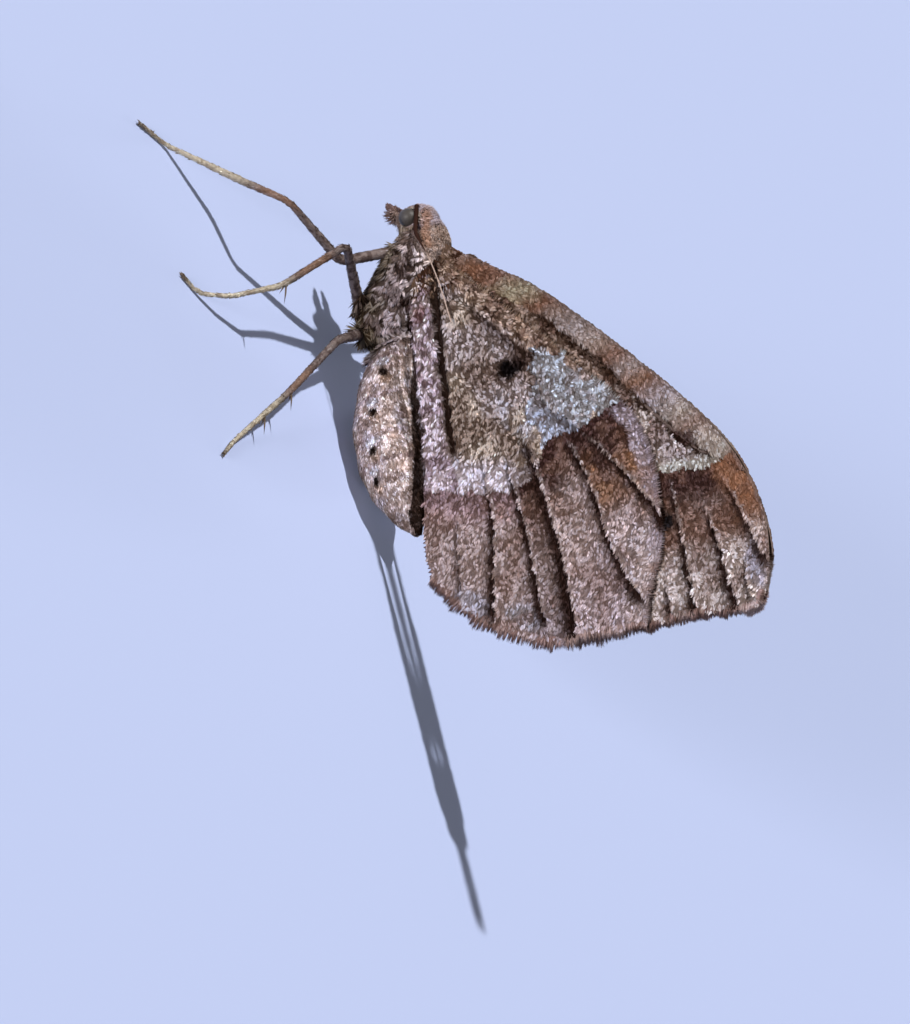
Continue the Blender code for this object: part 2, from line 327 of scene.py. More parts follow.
def round_path(way, reference, sides):
    """Outward directions round a path, at each of its points."""
    across = unit(np.cross(way, reference))
    over = np.cross(way, across)
    turn = np.linspace(0, 2 * math.pi, sides, endpoint=False)[None, :, None]
    return across[:, None] * np.cos(turn) + over[:, None] * np.sin(turn)


def placed(points):
    """(side, back, up) in millimetres as metres in the row frame."""
    return (np.asarray(points) - (0, MIDDLE_BACK, 0)) * MM


# ---- meshes ----


def new_mesh(name, points, faces):
    """A mesh of points in millimetres and faces that all have as many corners."""
    mesh = bpy.data.meshes.new(name)
    mesh.vertices.add(len(points))
    mesh.vertices.foreach_set("co", placed(points).astype(np.float32).ravel())
    mesh.loops.add(faces.size)
    mesh.loops.foreach_set("vertex_index", faces.astype(np.int32).ravel())
    mesh.polygons.add(len(faces))
    starts = np.arange(0, faces.size, faces.shape[1], dtype=np.int32)
    mesh.polygons.foreach_set("loop_start", starts)
    mesh.update(calc_edges=True)
    mesh.validate()
    return mesh


def tinted(mesh, tint):
    """Stores one colour for each vertex."""
    colours = np.ones((len(tint), 4), np.float32)
    colours[:, :3] = np.clip(tint, 0, 1)
    layer = mesh.color_attributes.new(name="tint", type="FLOAT_COLOR", domain="POINT")
    layer.data.foreach_set("color", colours.ravel())


def unwrapped(mesh, places):
    """Stores the OFBake map from one place for each vertex."""
    corners = np.empty(len(mesh.loops), np.int32)
    mesh.loops.foreach_get("vertex_index", corners)
    layer = mesh.uv_layers.new(name="OFBake")
    layer.data.foreach_set("uv", places[corners].astype(np.float32).ravel())


def piece(name, mesh, material, replaces=()):
    """An object of the mesh that rides on the body."""
    made = bpy.data.objects.new(name, mesh)
    bpy.context.scene.collection.objects.link(made)
    mesh.materials.append(material)
    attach(made, "root")
    if replaces:
        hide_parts(*replaces)


def closed_rings(rings):
    """Vertices and faces of a closed tube through rings of points."""
    count, sides = rings.shape[:2]
    index = np.arange(count * sides).reshape(count, sides)
    ahead = np.roll(index, -1, axis=1)
    quads = np.stack([index[:-1], ahead[:-1], ahead[1:], index[1:]], axis=-1).reshape(-1, 4)
    caps = [list(index[0][::-1]), list(index[-1])]
    return rings.reshape(-1, 3), [list(quad) for quad in quads] + caps


def tube_piece(name, rings, tint, look, node):
    """A smooth closed tube through rings of points, as a piece in place of a node."""
    points, faces = closed_rings(rings)
    mesh = bpy.data.meshes.new(name)
    mesh.from_pydata(placed(points).tolist(), [], faces)
    tinted(mesh, tint)
    mesh.shade_smooth()
    piece(name, mesh, look, (node,))


PATCH = 0.003  # how wide each scale or hair is on the map
SCALE_FACES = np.array(((0, 3, 2), (0, 2, 1), (0, 1, 3), (1, 2, 3)))
SCALE_PATCH = np.array(((0, 0), (0.5, 1), (1, 0), (0.5, -1))) * PATCH
HAIR_FACES = np.array((
    (0, 2, 1), (0, 1, 4), (0, 4, 3), (1, 2, 5), (1, 5, 4),
    (2, 0, 3), (2, 3, 5), (3, 4, 6), (4, 5, 6), (5, 3, 6),
))
HAIR_PATCH = np.array(((0, 0), (0, 0.5), (0, 1), (0.5, 0), (0.5, 0.5), (0.5, 1), (1, 0.5))) * PATCH
HAIR_TURNS = (math.pi / 2, math.pi * 7 / 6, math.pi * 11 / 6)


def scales(roots, along, out, length, width, lift):
    """Thin closed blades: root, left corner, tip and right corner of each."""
    across = np.cross(out, along)
    length, width, lift = (np.broadcast_to(size, len(roots))[:, None] for size in (length, width, lift))
    tip = roots + along * length + out * lift
    waist = roots + along * length * 0.45 + out * lift * 0.12
    return np.stack([roots, waist + across * width / 2, tip, waist - across * width / 2], axis=1)


def hairs(roots, along, out, length, width, lift, arch):
    """Thin closed three-sided locks that rise and bend over: two rings and a tip of each."""
    across = np.cross(out, along)
    sizes = (length, width, lift, arch)
    length, width, lift, arch = (np.broadcast_to(size, len(roots))[:, None] for size in sizes)
    middle = roots + along * length * 0.5 + out * (lift * 0.5 + arch)
    corners = []
    for ring, breadth in ((roots, width * 0.5), (middle, width * 0.42)):
        for turn in HAIR_TURNS:
            corners.append(ring + (out * math.sin(turn) + across * math.cos(turn)) * breadth)
    corners.append(roots + along * length + out * lift)
    return np.stack(corners, axis=1)


def coat(name, corners, tint, places, material):
    """One mesh of many scales or hairs, each in its own colour and on its own patch of the map."""
    count, each = corners.shape[:2]
    flat = each == len(SCALE_PATCH)
    faces, patch = (SCALE_FACES, SCALE_PATCH) if flat else (HAIR_FACES, HAIR_PATCH)
    index = (np.arange(count)[:, None, None] * each + faces).reshape(-1, 3)
    mesh = new_mesh(name, corners.reshape(-1, 3), index)
    tinted(mesh, np.repeat(tint, each, axis=0))
    unwrapped(mesh, (places[:, None] + patch).reshape(-1, 2))
    if flat:
        mesh.shade_flat()
    piece(name, mesh, material)


def fleck(tint, draw, curl, spread=0.2, depth=1.0):
    """Each scale's own lightness: pale and cool where the coat curls up, dark and warm between."""
    count = len(tint)
    light = np.exp(draw.normal(0, spread, count) + depth * (1.55 * curl - 0.92))
    pick = draw.random(count)
    light = np.where(pick < 0.10, light * 1.3, light)
    light = np.where(pick > 0.88, light * 0.6, light)
    warm = 0.15 * np.clip(1 - light, -0.6, 0.8) + draw.normal(0, 0.03, count)
    return tint * light[:, None] * np.column_stack([1 + warm, np.ones(count), 1 - warm])


# ---- materials ----


def new_material(name, roughness, specular):
    """A plain material and its surface."""
    made = bpy.data.materials.new(name)
    made.use_nodes = True
    surface = made.node_tree.nodes["Principled BSDF"]
    surface.inputs["Roughness"].default_value = roughness
    surface.inputs["Specular IOR Level"].default_value = specular
    return made, surface


def own_tint(made):
    """The socket with the vertices' own colour."""
    tint = made.node_tree.nodes.new("ShaderNodeAttribute")
    tint.attribute_name = "tint"
    return tint.outputs["Color"]


def pattern(made, kind, size):
    """A texture node of the kind, laid on the object itself, with features about size millimetres across."""
    place = made.node_tree.nodes.new("ShaderNodeTexCoord")
    texture = made.node_tree.nodes.new(kind)
    texture.inputs["Scale"].default_value = 1 / (size * MM)
    made.node_tree.links.new(place.outputs["Object"], texture.inputs["Vector"])
    return texture


def bumped(made, surface, height, strength, distance):
    """Bumps the surface by the height socket, over a distance in millimetres."""
    relief = made.node_tree.nodes.new("ShaderNodeBump")
    relief.inputs["Strength"].default_value = strength
    relief.inputs["Distance"].default_value = distance * MM
    made.node_tree.links.new(height, relief.inputs["Height"])
    made.node_tree.links.new(relief.outputs["Normal"], surface.inputs["Normal"])
    return relief


def material(name, roughness, specular, bump, bump_size):
    """A material in the vertices' own colour, with fine mottling and bump, glossier where it is paler."""
    made, surface = new_material(name, roughness, specular)
    nodes, links = made.node_tree.nodes, made.node_tree.links
    tint = own_tint(made)
    grain = pattern(made, "ShaderNodeTexNoise", bump_size)
    grain.inputs["Detail"].default_value = 3.0
    depth = nodes.new("ShaderNodeMapRange")
    depth.inputs["To Min"].default_value = 0.72
    depth.inputs["To Max"].default_value = 1.28
    links.new(grain.outputs["Fac"], depth.inputs["Value"])
    mottled = nodes.new("ShaderNodeVectorMath")
    mottled.operation = "SCALE"
    links.new(tint, mottled.inputs[0])
    links.new(depth.outputs["Result"], mottled.inputs["Scale"])
    links.new(mottled.outputs["Vector"], surface.inputs["Base Color"])
    bumped(made, surface, grain.outputs["Fac"], bump, bump_size * 0.5)
    gloss = nodes.new("ShaderNodeMapRange")
    gloss.inputs["From Max"].default_value = 0.25
    gloss.inputs["To Max"].default_value = specular
    links.new(tint, gloss.inputs["Value"])
    links.new(gloss.outputs["Result"], surface.inputs["Specular IOR Level"])
    return made


def eye_material():
    """A dark compound eye, with fine facets in the gloss."""
    made, surface = new_material("compound_eye", 0.5, 0.35)
    made.node_tree.links.new(own_tint(made), surface.inputs["Base Color"])
    facets = pattern(made, "ShaderNodeTexVoronoi", 0.03)
    relief = bumped(made, surface, facets.outputs["Distance"], 0.35, 0.006)
    relief.invert = True
    return made


# ---- wings ----

# Each wing's edges, and how far out from the middle it lies: side, with flare added near the root.
HINDWING = {
    "front": (
        (0.94, 4.15), (2.27, 5.17), (4.04, 6.33), (5.03, 6.96), (7.38, 8.40), (8.64, 8.71), (9.89, 8.76),
        (11.06, 8.60), (12.08, 8.15), (12.97, 7.60), (13.50, 7.34),
    ),
    "outer": (
        (13.50, 7.34), (13.36, 6.66), (13.08, 5.70), (12.80, 4.72), (12.28, 3.90), (11.52, 2.98),
        (10.64, 2.22), (9.86, 1.78), (9.30, 1.42),
    ),
    "inner": (
        (1.30, 3.35), (1.95, 3.02), (3.45, 2.65), (4.89, 2.32), (6.07, 2.06), (7.10, 1.79), (8.19, 1.53),
        (9.30, 1.42),
    ),
    "side": 0.36,
    "flare": 0.42,
    "flare_length": 3.0,
    "root": (1.2, 3.9),
}
FOREWING = {
    "front": (
        (0.62, 4.50), (1.50, 5.32), (2.63, 6.44), (4.53, 7.86), (6.24, 9.02), (8.02, 10.15), (9.68, 11.03),
        (11.10, 11.46), (12.39, 11.58), (13.50, 11.40), (14.16, 11.02),
    ),
    "outer": (
        (14.16, 11.02), (14.46, 10.70), (14.42, 10.30), (13.98, 9.27), (13.78, 8.60), (13.56, 7.78),
        (13.30, 6.90), (12.40, 5.30), (11.20, 3.95),
    ),
    "inner": ((1.20, 3.85), (4.20, 3.85), (8.00, 3.75), (11.20, 3.95)),
    "side": 0.062,
    "flare": 0.48,
    "flare_length": 2.2,
    "root": (1.0, 4.0),
}
# Each vein: its line, how far its fold stands out, and the fold's widths on the belly side and beyond.
HINDWING_VEINS = (
    (((7.46, 2.79), (9.28, 2.43), (10.39, 2.18)), 0.04, 0.10, 0.70),
    (((6.32, 3.92), (7.94, 3.85), (9.02, 3.74), (11.14, 3.10)), 0.11, 0.13, 0.85),
    (((6.64, 4.57), (8.09, 4.66), (9.49, 4.70), (11.96, 4.54)), 0.10, 0.12, 0.75),
    (((5.82, 5.23), (7.38, 5.41), (8.51, 5.53), (10.43, 5.63), (12.69, 5.46)), 0.14, 0.22, 0.95),
    (((7.40, 6.47), (8.00, 6.70), (9.21, 6.97), (10.94, 7.12), (12.60, 7.50)), 0.11, 0.12, 0.80),
    (((7.46, 6.96), (8.46, 7.63), (9.99, 8.39), (11.05, 8.74)), 0.10, 0.10, 0.70),
    (((1.59, 4.23), (2.87, 4.97), (3.56, 5.43), (4.59, 6.15)), 0.05, 0.12, 0.60),
    (((4.59, 6.15), (5.55, 6.13), (6.21, 6.23), (7.43, 6.97)), 0.035, 0.10, 0.60),
)
FOREWING_VEINS = (
    (((9.68, 9.05), (10.75, 9.10), (11.75, 9.08), (12.70, 9.02), (13.72, 8.96)), 0.09, 0.12, 0.70),
    (((10.60, 9.80), (11.60, 10.02), (12.50, 10.12), (13.30, 10.16), (14.15, 10.22)), 0.11, 0.15, 0.80),
    (((10.20, 10.52), (11.40, 10.90), (12.35, 11.15), (13.25, 11.36)), 0.07, 0.12, 0.50),
    (((12.90, 10.72), (13.50, 10.70), (14.10, 10.72)), 0.06, 0.08, 0.40),
    (((12.60, 8.20), (13.10, 8.20), (13.70, 8.25)), 0.07, 0.10, 0.50),
)
BELLY_FOLD = ((1.02, 4.06), (3.09, 3.65), (5.31, 3.14), (6.47, 3.02))
COSTA_GROOVE = (
    (3.19, 6.07), (3.78, 6.56), (4.80, 7.27), (5.84, 7.97), (7.07, 8.67), (8.26, 9.36), (9.37, 10.06),
    (9.75, 10.40),
)
HINDWING_LINE = (
    (6.65, 1.60), (6.79, 1.92), (7.37, 2.92), (7.86, 3.87), (8.07, 4.49), (8.09, 5.17), (7.75, 5.61),
    (7.29, 5.92), (7.29, 6.43), (7.43, 6.97), (7.30, 7.52), (7.25, 8.05), (7.28, 8.75),
)
FOREWING_LINE = (
    (9.20, 7.60), (9.43, 8.34), (9.66, 8.95), (9.85, 9.59), (10.06, 10.21), (10.10, 10.75), (10.0, 11.6),
)
BLUISH_PATCH = (
    (4.85, 6.15), (5.05, 7.0), (6.20, 7.75), (7.35, 8.5), (7.30, 7.8), (7.6, 6.97), (7.4, 5.95),
    (6.25, 5.62), (5.85, 5.80),
)
RIGHT_HINDWING_LIFT = math.radians(2.4)


def wing_plane(wing, across, out):
    """(back, up) of points across the wing from front to inner edge, and out from its root."""
    front, inner = through(wing["front"], out), through(wing["inner"], out)
    corner_front, corner_inner = np.array(wing["front"][-1]), np.array(wing["inner"][-1])
    chord = corner_front + (corner_inner - corner_front) * across[:, None]
    bow = through(wing["outer"], across) - chord
    flat = front + (inner - front) * across[:, None] + bow * out[:, None] ** OUT_BOW
    wave = SCALLOP * np.cos(2 * math.pi * SCALLOPS * across) * out**12
    return flat + (flat - wing["root"]) * wave[:, None]


def outline(wing):
    """The membrane's closed flat outline."""
    share = np.linspace(0, 1, OUTLINE_STEPS)
    none, full = np.zeros(OUTLINE_STEPS), np.ones(OUTLINE_STEPS)
    edges = ((none, share), (share, full), (full, share[::-1]))
    return np.vstack([wing_plane(wing, across, out) for across, out in edges])


def pleats(points, veins):
    """How far the folds along the veins stand out: a steep face on the belly side, a gentle one beyond."""
    height = np.zeros(len(points))
    for line, size, steep, gentle in veins:
        gap, share = beside(points, line)
        height += size * ramp(0, 0.4, share) * ramp(-steep, 0, gap) * fall(0, gentle, gap)
    return height


def wing_side(wing, points):
    """How far out from the middle the wing's outer face is."""
    reach = np.hypot(*(points - np.array(wing["root"])).T)
    side = wing["side"] + wing["flare"] * np.exp(-((reach / wing["flare_length"]) ** 2))
    side += 0.05 * (noise(points, 1.3, 5) - 0.5) + 0.02 * (noise(points, 0.35, 6) - 0.5)
    if wing is HINDWING:
        side += pleats(points, HINDWING_VEINS)
        fold, share = beside(points, BELLY_FOLD)
        side -= 0.12 * fall(0.02, 0.17, np.abs(fold)) * fall(0.85, 1, share)
        edge, share = beside(points, HINDWING["front"])
        side -= 0.19 * fall(0.0, 0.6, -edge) * ramp(0.3, 0.5, share)
    else:
        side += pleats(points, FOREWING_VEINS)
        groove, share = beside(points, COSTA_GROOVE)
        side += 0.05 * ramp(-0.06, 0.06, groove) * ramp(0, 0.1, share)
        side -= 0.05 * fall(0.02, 0.12, np.abs(groove))
    return side


def wing_space(wing, points, side, sign, lift):
    """Places flat wing points at their side, turned up about the root by lift."""
    gap = points - np.array(wing["root"])
    back = gap[:, 0] * math.cos(lift) - gap[:, 1] * math.sin(lift)
    up = gap[:, 0] * math.sin(lift) + gap[:, 1] * math.cos(lift)
    return np.column_stack([sign * side, back + wing["root"][0], up + wing["root"][1]])


def wing_map(points):
    """The wing's flat shape as places on its map."""
    return (points + (0.5, 0.5)) / MAP_SIZE


def hindwing_paint(points):
    """The pattern of the hindwing's underside, with painted shade in its belly fold, along its inner edge
    and along its veins, and a pale crest on each vein that is partly painted highlight.
    """
    back, up = points.T
    wobble = points + 0.16 * drift(points, 0.22, 1)
    line, _ = beside(wobble, HINDWING_LINE)
    upper = ramp(-0.1, 0.3, up - 4.2 - 0.55 * (back - 1.6)) * fall(5.5, 6.5, back)
    band = ramp(-0.02, 0.04, line) * fall(0.45, 1.15, line) * fall(4.4, 5.0, up)
    tint = layered(
        plain((140, 124, 120), points),
        sandy=(0.7 * patches(points, 0.9, 3, 0.45, 0.75), (156, 136, 116)),
        brown=(0.8 * patches(points, 0.6, 4, 0.52, 0.8), (104, 84, 72)),
        upper=(0.7 * upper, (126, 100, 80)),
        upper_mottle=(0.75 * upper * patches(points, 0.17, 8, 0.48, 0.62), (74, 52, 42)),
        pale_band=(0.9 * band, (196, 183, 190)),
    )
    bluish = layered(
        plain((151, 151, 156), points),
        bluer=(fall(-0.5, 0.3, up - back + 0.2), (147, 149, 163)),
        mottle=(0.7 * patches(points, 0.15, 17, 0.52, 0.66), (104, 90, 86)),
    )
    tint = blend(tint, bluish, 0.9 * within(wobble + 0.55 * drift(points, 0.34, 15), BLUISH_PATCH))
    haze = blot(points, (6.3, 5.2), (1.3, 0.5), 10) * patches(points, 0.3, 9, 0.4, 0.6)
    tint = layered(tint, haze=(0.5 * haze, (160, 156, 166)))
    tint = np.where((line < 0)[:, None], hindwing_margin_paint(points, line), tint)
    fold, share = beside(points, BELLY_FOLD)
    strip = fall(-0.2, -0.1, fold) * (line > 0)
    # Painted shade in the crease of the belly fold.
    dark = fall(0.12 - 0.04 * share, 0.23 - 0.10 * share, np.abs(fold)) * fall(0.9, 1, share)
    hem, along_hem = beside(points, HINDWING["inner"])
    tint = layered(
        tint,
        strip=(0.78 * strip * (0.35 + 0.65 * ramp(1.4, 2.8, back)), (184, 166, 172)),
        strip_mottle=(0.75 * strip * patches(points, 0.17, 18, 0.5, 0.66), (112, 88, 94)),
        root_blot=(0.8 * blot(points, (2.16, 3.30), (0.28, 0.18), -15), (104, 70, 68)),
        # fold: painted shade in the belly fold's crease.
        fold=(0.97 * dark, (32, 19, 14)),
        # hem: painted shade of the gap between the wing's inner edge and the abdomen.
        hem=(0.9 * fall(0.04, 0.09, np.abs(hem)) * fall(0.6, 0.75, along_hem), (34, 21, 16)),
        spot_rim=(0.6 * blot(points, (4.82, 5.46), (0.72, 0.50), 84), (84, 62, 50)),
        spot=(0.99 * blot(wobble, (4.82, 5.45), (0.60, 0.33), 84), (6, 4, 4)),
        corner_spot=(0.95 * blot(points, (11.08, 8.66), (0.32, 0.26), 20), (26, 26, 30)),
    )
    return vein_paint(points, tint, HINDWING_VEINS)


def hindwing_margin_paint(points, line):
    """The pattern between the hindwing's outer line and its margin."""
    back, up = points.T
    far = -line
    low = fall(4.5, 4.9, up)
    high = ramp(5.4, 5.8, up)
    middle = (1 - low) * (1 - high)
    reach = 0.7 + 0.9 * ramp(6.7, 7.2, up)
    russet = ramp(6.6, 7.2, up) * ramp(0.5, 1.1, far) * fall(2.2, 3.0, far)
    edge, _ = beside(points, HINDWING["front"])
    lilac = fall(0.26, 0.44, -edge) * ramp(7.2, 7.5, back) * fall(11.3, 12.0, back)
    return layered(
        plain((150, 129, 124), points),
        low=(low * fall(0.3, 1.3, far), (150, 121, 121)),
        middle=(middle * fall(0.5, 2.8, far), (118, 90, 82)),
        high=(high * (1 - np.clip(far / reach - 1, 0, 1)), (68, 47, 41)),
        dark_line=((1 - 0.5 * low) * fall(0.2, 0.7, far), (60, 39, 35)),
        russet=(0.75 * russet * patches(points, 0.5, 11, 0.35, 0.6), (126, 88, 62)),
        margin=(0.8 * ramp(2.4, 4.4, far) * ramp(3.4, 4.4, up), (160, 141, 143)),
        low_blue=(0.75 * blot(points, (10.6, 2.45), (0.85, 0.4), 45), (156, 150, 160)),
        high_blue=(0.7 * blot(points, (11.7, 4.0), (0.8, 0.4), 50), (150, 146, 154)),
        corner=(0.35 * ramp(7.0, 7.4, up) * ramp(3.2, 3.8, far), (150, 138, 138)),
        lilac_edge=(0.9 * lilac, (146, 132, 140)),
        mottle=(0.6 * patches(points, 0.45, 12, 0.56, 0.78), (112, 84, 72)),
    )


def vein_paint(points, tint, veins):
    """Pale beaded scales along each vein's crest, partly a painted highlight on the ridge, with painted
    shade down the fold and in the furrow on its belly side.
    """
    for line, size, steep, _ in veins:
        gap, share = beside(points, line)
        shown = ramp(0, 0.3, share) * min(1, size / 0.08)
        belly_side = fall(-0.05, -0.01, gap)
        reach = steep * (0.8 + 1.1 * share)
        # shadow and furrow are painted shade: down the fold's steep face on the belly side, and deepest in
        # the furrow beside the vein.
        shadow = ramp(-3.2 * reach, -0.9 * reach, gap) * belly_side * ramp(0.1, 0.5, share)
        furrow = ramp(-1.5 * reach - 0.04, -0.7 * reach - 0.02, gap) * belly_side
        # The crest is pale beaded scales along the ridge, and partly a painted highlight.
        crest = fall(0.015, 0.06, np.abs(gap - 0.03))
        bead = 0.65 + 0.35 * np.cos(share * len(line) * 40)
        tint = layered(
            tint,
            shadow=(0.62 * min(1, size / 0.07) * shadow, (62, 43, 35)),
            furrow=(0.97 * furrow * shown, (36, 21, 16)),
            crest=(0.7 * crest * shown * bead, (184, 166, 160)),
        )
    return tint


# The forewing's front strip changes through these tones: the place along the back, and the colour there.
COSTA_BLOCKS = (
    (0.9, (120, 98, 86)), (1.6, (114, 78, 58)), (2.1, (110, 80, 66)), (2.65, (146, 134, 112)),
    (3.3, (114, 80, 62)), (3.8, (126, 106, 96)), (4.4, (146, 132, 128)), (5.2, (140, 120, 108)),
    (5.8, (120, 88, 72)), (6.3, (140, 124, 118)), (6.8, (124, 90, 70)), (7.5, (144, 130, 130)),
    (8.2, (146, 132, 122)), (8.7, (132, 108, 96)), (9.2, (156, 140, 130)), (9.8, (154, 142, 130)),
    (10.2, (134, 92, 68)), (11.2, (130, 94, 72)), (12.4, (128, 104, 92)), (13.6, (134, 118, 118)),
)


def forewing_paint(points):
    """The pattern of the forewing's underside, with painted shade in the groove below its front strip and
    along its veins, and a pale crest on each vein that is partly painted highlight.
    """
    back, up = points.T
    wobble = points + 0.16 * drift(points, 0.2, 21)
    line, _ = beside(wobble, FOREWING_LINE)
    tint = layered(
        plain((126, 104, 92), points),
        outward=(0.75 * ramp(6.2, 7.0, back), (172, 157, 150)),
        mottle=(0.9 * patches(points, 0.3, 23, 0.5, 0.68), (92, 68, 58)),
        grey=(0.5 * ramp(8.0, 9.2, back) * fall(9.6, 10.0, back), (158, 144, 142)),
        pale_line=(0.85 * ramp(-0.02, 0.02, line) * fall(0.16, 0.42, line), (164, 158, 148)),
    )
    tint = np.where((line < 0)[:, None], forewing_margin_paint(points, line), tint)
    groove, share = beside(wobble, COSTA_GROOVE)
    strip = ramp(-0.03, 0.03, groove) * fall(9.9, 10.6, back + 0.5 * (11.4 - up))
    places = [place for place, _ in COSTA_BLOCKS]
    tones = np.array([shade(*tone) for _, tone in COSTA_BLOCKS])
    streak = np.column_stack([np.interp(wobble[:, 0], places, tones[:, k]) for k in range(3)])
    streak *= (0.86 + 0.28 * noise(points, 0.25, 24))[:, None]
    # Painted shade in the groove below the front strip.
    furrow = fall(0.05, 0.16, np.abs(groove + 0.05)) * ramp(0.03, 0.12, share)
    edge, _ = beside(points, FOREWING["front"])
    tint = layered(
        blend(tint, streak, strip),
        furrow=(0.92 * furrow, (56, 38, 28)),
        groove_end=(0.85 * blot(wobble, (8.95, 9.85), (0.5, 0.22), 45), (60, 40, 36)),
        rim=(0.5 * fall(0.02, 0.1, -edge), (112, 96, 92)),
        corner_spot=(0.95 * blot(points, (10.98, 8.66), (0.32, 0.26), 20), (26, 26, 30)),
    )
    return vein_paint(points, tint, FOREWING_VEINS)


def forewing_margin_paint(points, line):
    """The pattern between the forewing's outer line and its margin."""
    _, up = points.T
    far = -line
    return layered(
        plain((128, 104, 94), points),
        dark_line=(fall(0.4, 1.7, far), (62, 41, 36)),
        brown=(0.7 * ramp(0.9, 1.5, far) * fall(2.0, 2.8, far), (104, 74, 60)),
        high_brown=(0.85 * ramp(10.45, 10.8, up) * fall(2.0, 2.7, far), (118, 84, 66)),
        rust=(0.85 * blot(points, (10.55, 11.10), (1.30, 0.68), 22), (140, 96, 68)),
        margin=(0.85 * ramp(1.8, 2.9, far), (184, 168, 162)),
        tip_lilac=(0.8 * blot(points, (13.40, 10.98), (0.80, 0.34)), (142, 134, 146)),
        tip=(0.7 * ramp(11.15, 11.4, up) * ramp(2.4, 2.8, far), (120, 88, 78)),
        mottle=(0.6 * patches(points, 0.35, 31, 0.52, 0.75), (92, 64, 52)),
    )


def wing_sheet(name, wing, paint, sign, lift, look, node):
    """A thin closed sheet with the wing's folds, painted on both faces."""
    across, out = np.meshgrid(np.linspace(0, 1, SHEET_COLUMNS), np.linspace(0, 1, SHEET_ROWS))
    flat = wing_plane(wing, across.ravel(), out.ravel())
    side = wing_side(wing, flat)
    shown = wing_space(wing, flat, side, sign, lift)
    hidden = wing_space(wing, flat, side - SHEET_THICKNESS, sign, lift)
    grid = np.arange(len(flat)).reshape(SHEET_ROWS, SHEET_COLUMNS)
    quads = np.stack([grid[:-1, :-1], grid[:-1, 1:], grid[1:, 1:], grid[1:, :-1]], axis=-1).reshape(-1, 4)
    rim = np.concatenate([grid[0, :-1], grid[:-1, -1], grid[-1, :0:-1], grid[:0:-1, 0]])
    ahead = np.roll(rim, -1)
    wall = np.stack([rim, rim + len(flat), ahead + len(flat), ahead], axis=-1)
    faces = np.concatenate([quads, quads[:, ::-1] + len(flat), wall])
    faces = faces if sign < 0 else faces[:, ::-1]
    mesh = new_mesh(name, np.vstack([shown, hidden]), faces)
    tint = paint(flat)
    paler = layered(tint, inner_face=(np.full(len(flat), 0.6), (128, 110, 102)))
    tinted(mesh, np.vstack([tint, paler]) * 0.8)
    half = wing_map(flat) * (0.5, 1)
    unwrapped(mesh, np.vstack([half, half + (0.5, 0)]))
    mesh.shade_smooth()
    piece(name, mesh, look, (node,))


def wing_spots(wing, count, draw, hidden_by=None):
    """Places spread evenly over the membrane, the way outwards at each, and 0 at its front to 1 inside."""
    edge = np.linspace(0, 1, SCATTER_CELLS + 1)
    across, out = (grid.ravel() for grid in np.meshgrid(edge, edge))
    corner = wing_plane(wing, across, out).reshape(len(edge), len(edge), 2)
    ahead, over = corner[1:, :-1] - corner[:-1, :-1], corner[:-1, 1:] - corner[:-1, :-1]
    area = np.abs(ahead[..., 0] * over[..., 1] - ahead[..., 1] * over[..., 0]).ravel()
    pick = draw.choice(area.size, count, p=area / area.sum())
    across = (pick % SCATTER_CELLS + draw.random(count)) / SCATTER_CELLS
    out = (pick // SCATTER_CELLS + draw.random(count)) / SCATTER_CELLS
    spots = wing_plane(wing, across, out)
    way = unit(wing_plane(wing, across, np.minimum(out + 0.01, 1)) - wing_plane(wing, across, out - 0.01))
    if hidden_by is not None:
        cover = outline(hidden_by)
        middle = cover.mean(0)
        seen = ~within(spots, middle + (cover - middle) * 0.93)
        spots, way, across = spots[seen], way[seen], across[seen]
    return spots, way, ramp(0, 0.05, across)


def wing_frame(wing, spots, out, sign, lift):
    """Space points of the spots, their flat directions laid on the wing's surface, and the normals."""
    step = 0.02
    ahead, above = spots + (step, 0), spots + (0, step)
    here = wing_space(wing, spots, wing_side(wing, spots), sign, lift)
    slope_back = wing_space(wing, ahead, wing_side(wing, ahead), sign, lift) - here
    slope_up = wing_space(wing, above, wing_side(wing, above), sign, lift) - here
    normal = unit(np.cross(slope_back, slope_up)) * sign
    along = unit(slope_back * out[:, :1] + slope_up * out[:, 1:])
    return here, along, normal


def hindwing_depth(points):
    """How strongly the curls show: less in the bluish patch, pale band, front edge, fold and margin."""
    line, _ = beside(points, HINDWING_LINE)
    edge, share = beside(points, HINDWING["front"])
    fold, _ = beside(points, BELLY_FOLD)
    calm = within(points, BLUISH_PATCH) * 0.3
    calm = np.maximum(calm, 0.3 * (line > 0) * fall(0.5, 0.9, line))
    calm = np.maximum(calm, 0.5 * fall(0.34, 0.55, -edge) * ramp(0.5, 0.6, share))
    calm = np.maximum(calm, 0.9 * fall(0.12, 0.18, np.abs(fold)) * (points[:, 0] < 6.4))
    return np.where(line > 0, 1.12, 0.78) * (1 - calm)


def forewing_depth(points):
    """How strongly the curls show: less along the front strip, the pale line, the rust and the margin."""
    groove, _ = beside(points, COSTA_GROOVE)
    line, _ = beside(points, FOREWING_LINE)
    strip = ramp(-0.03, 0.03, groove) * fall(10.1, 10.8, points[:, 0])
    pale_end = (line > 0) * fall(0.3, 0.6, line)
    calm = np.maximum(0.6 * strip, 0.35 * pale_end)
    calm = np.maximum(calm, 0.6 * blot(points, (10.9, 11.1), (1.9, 0.9)))
    return np.where(line > 0, 1.1, 0.75) * (1 - calm)


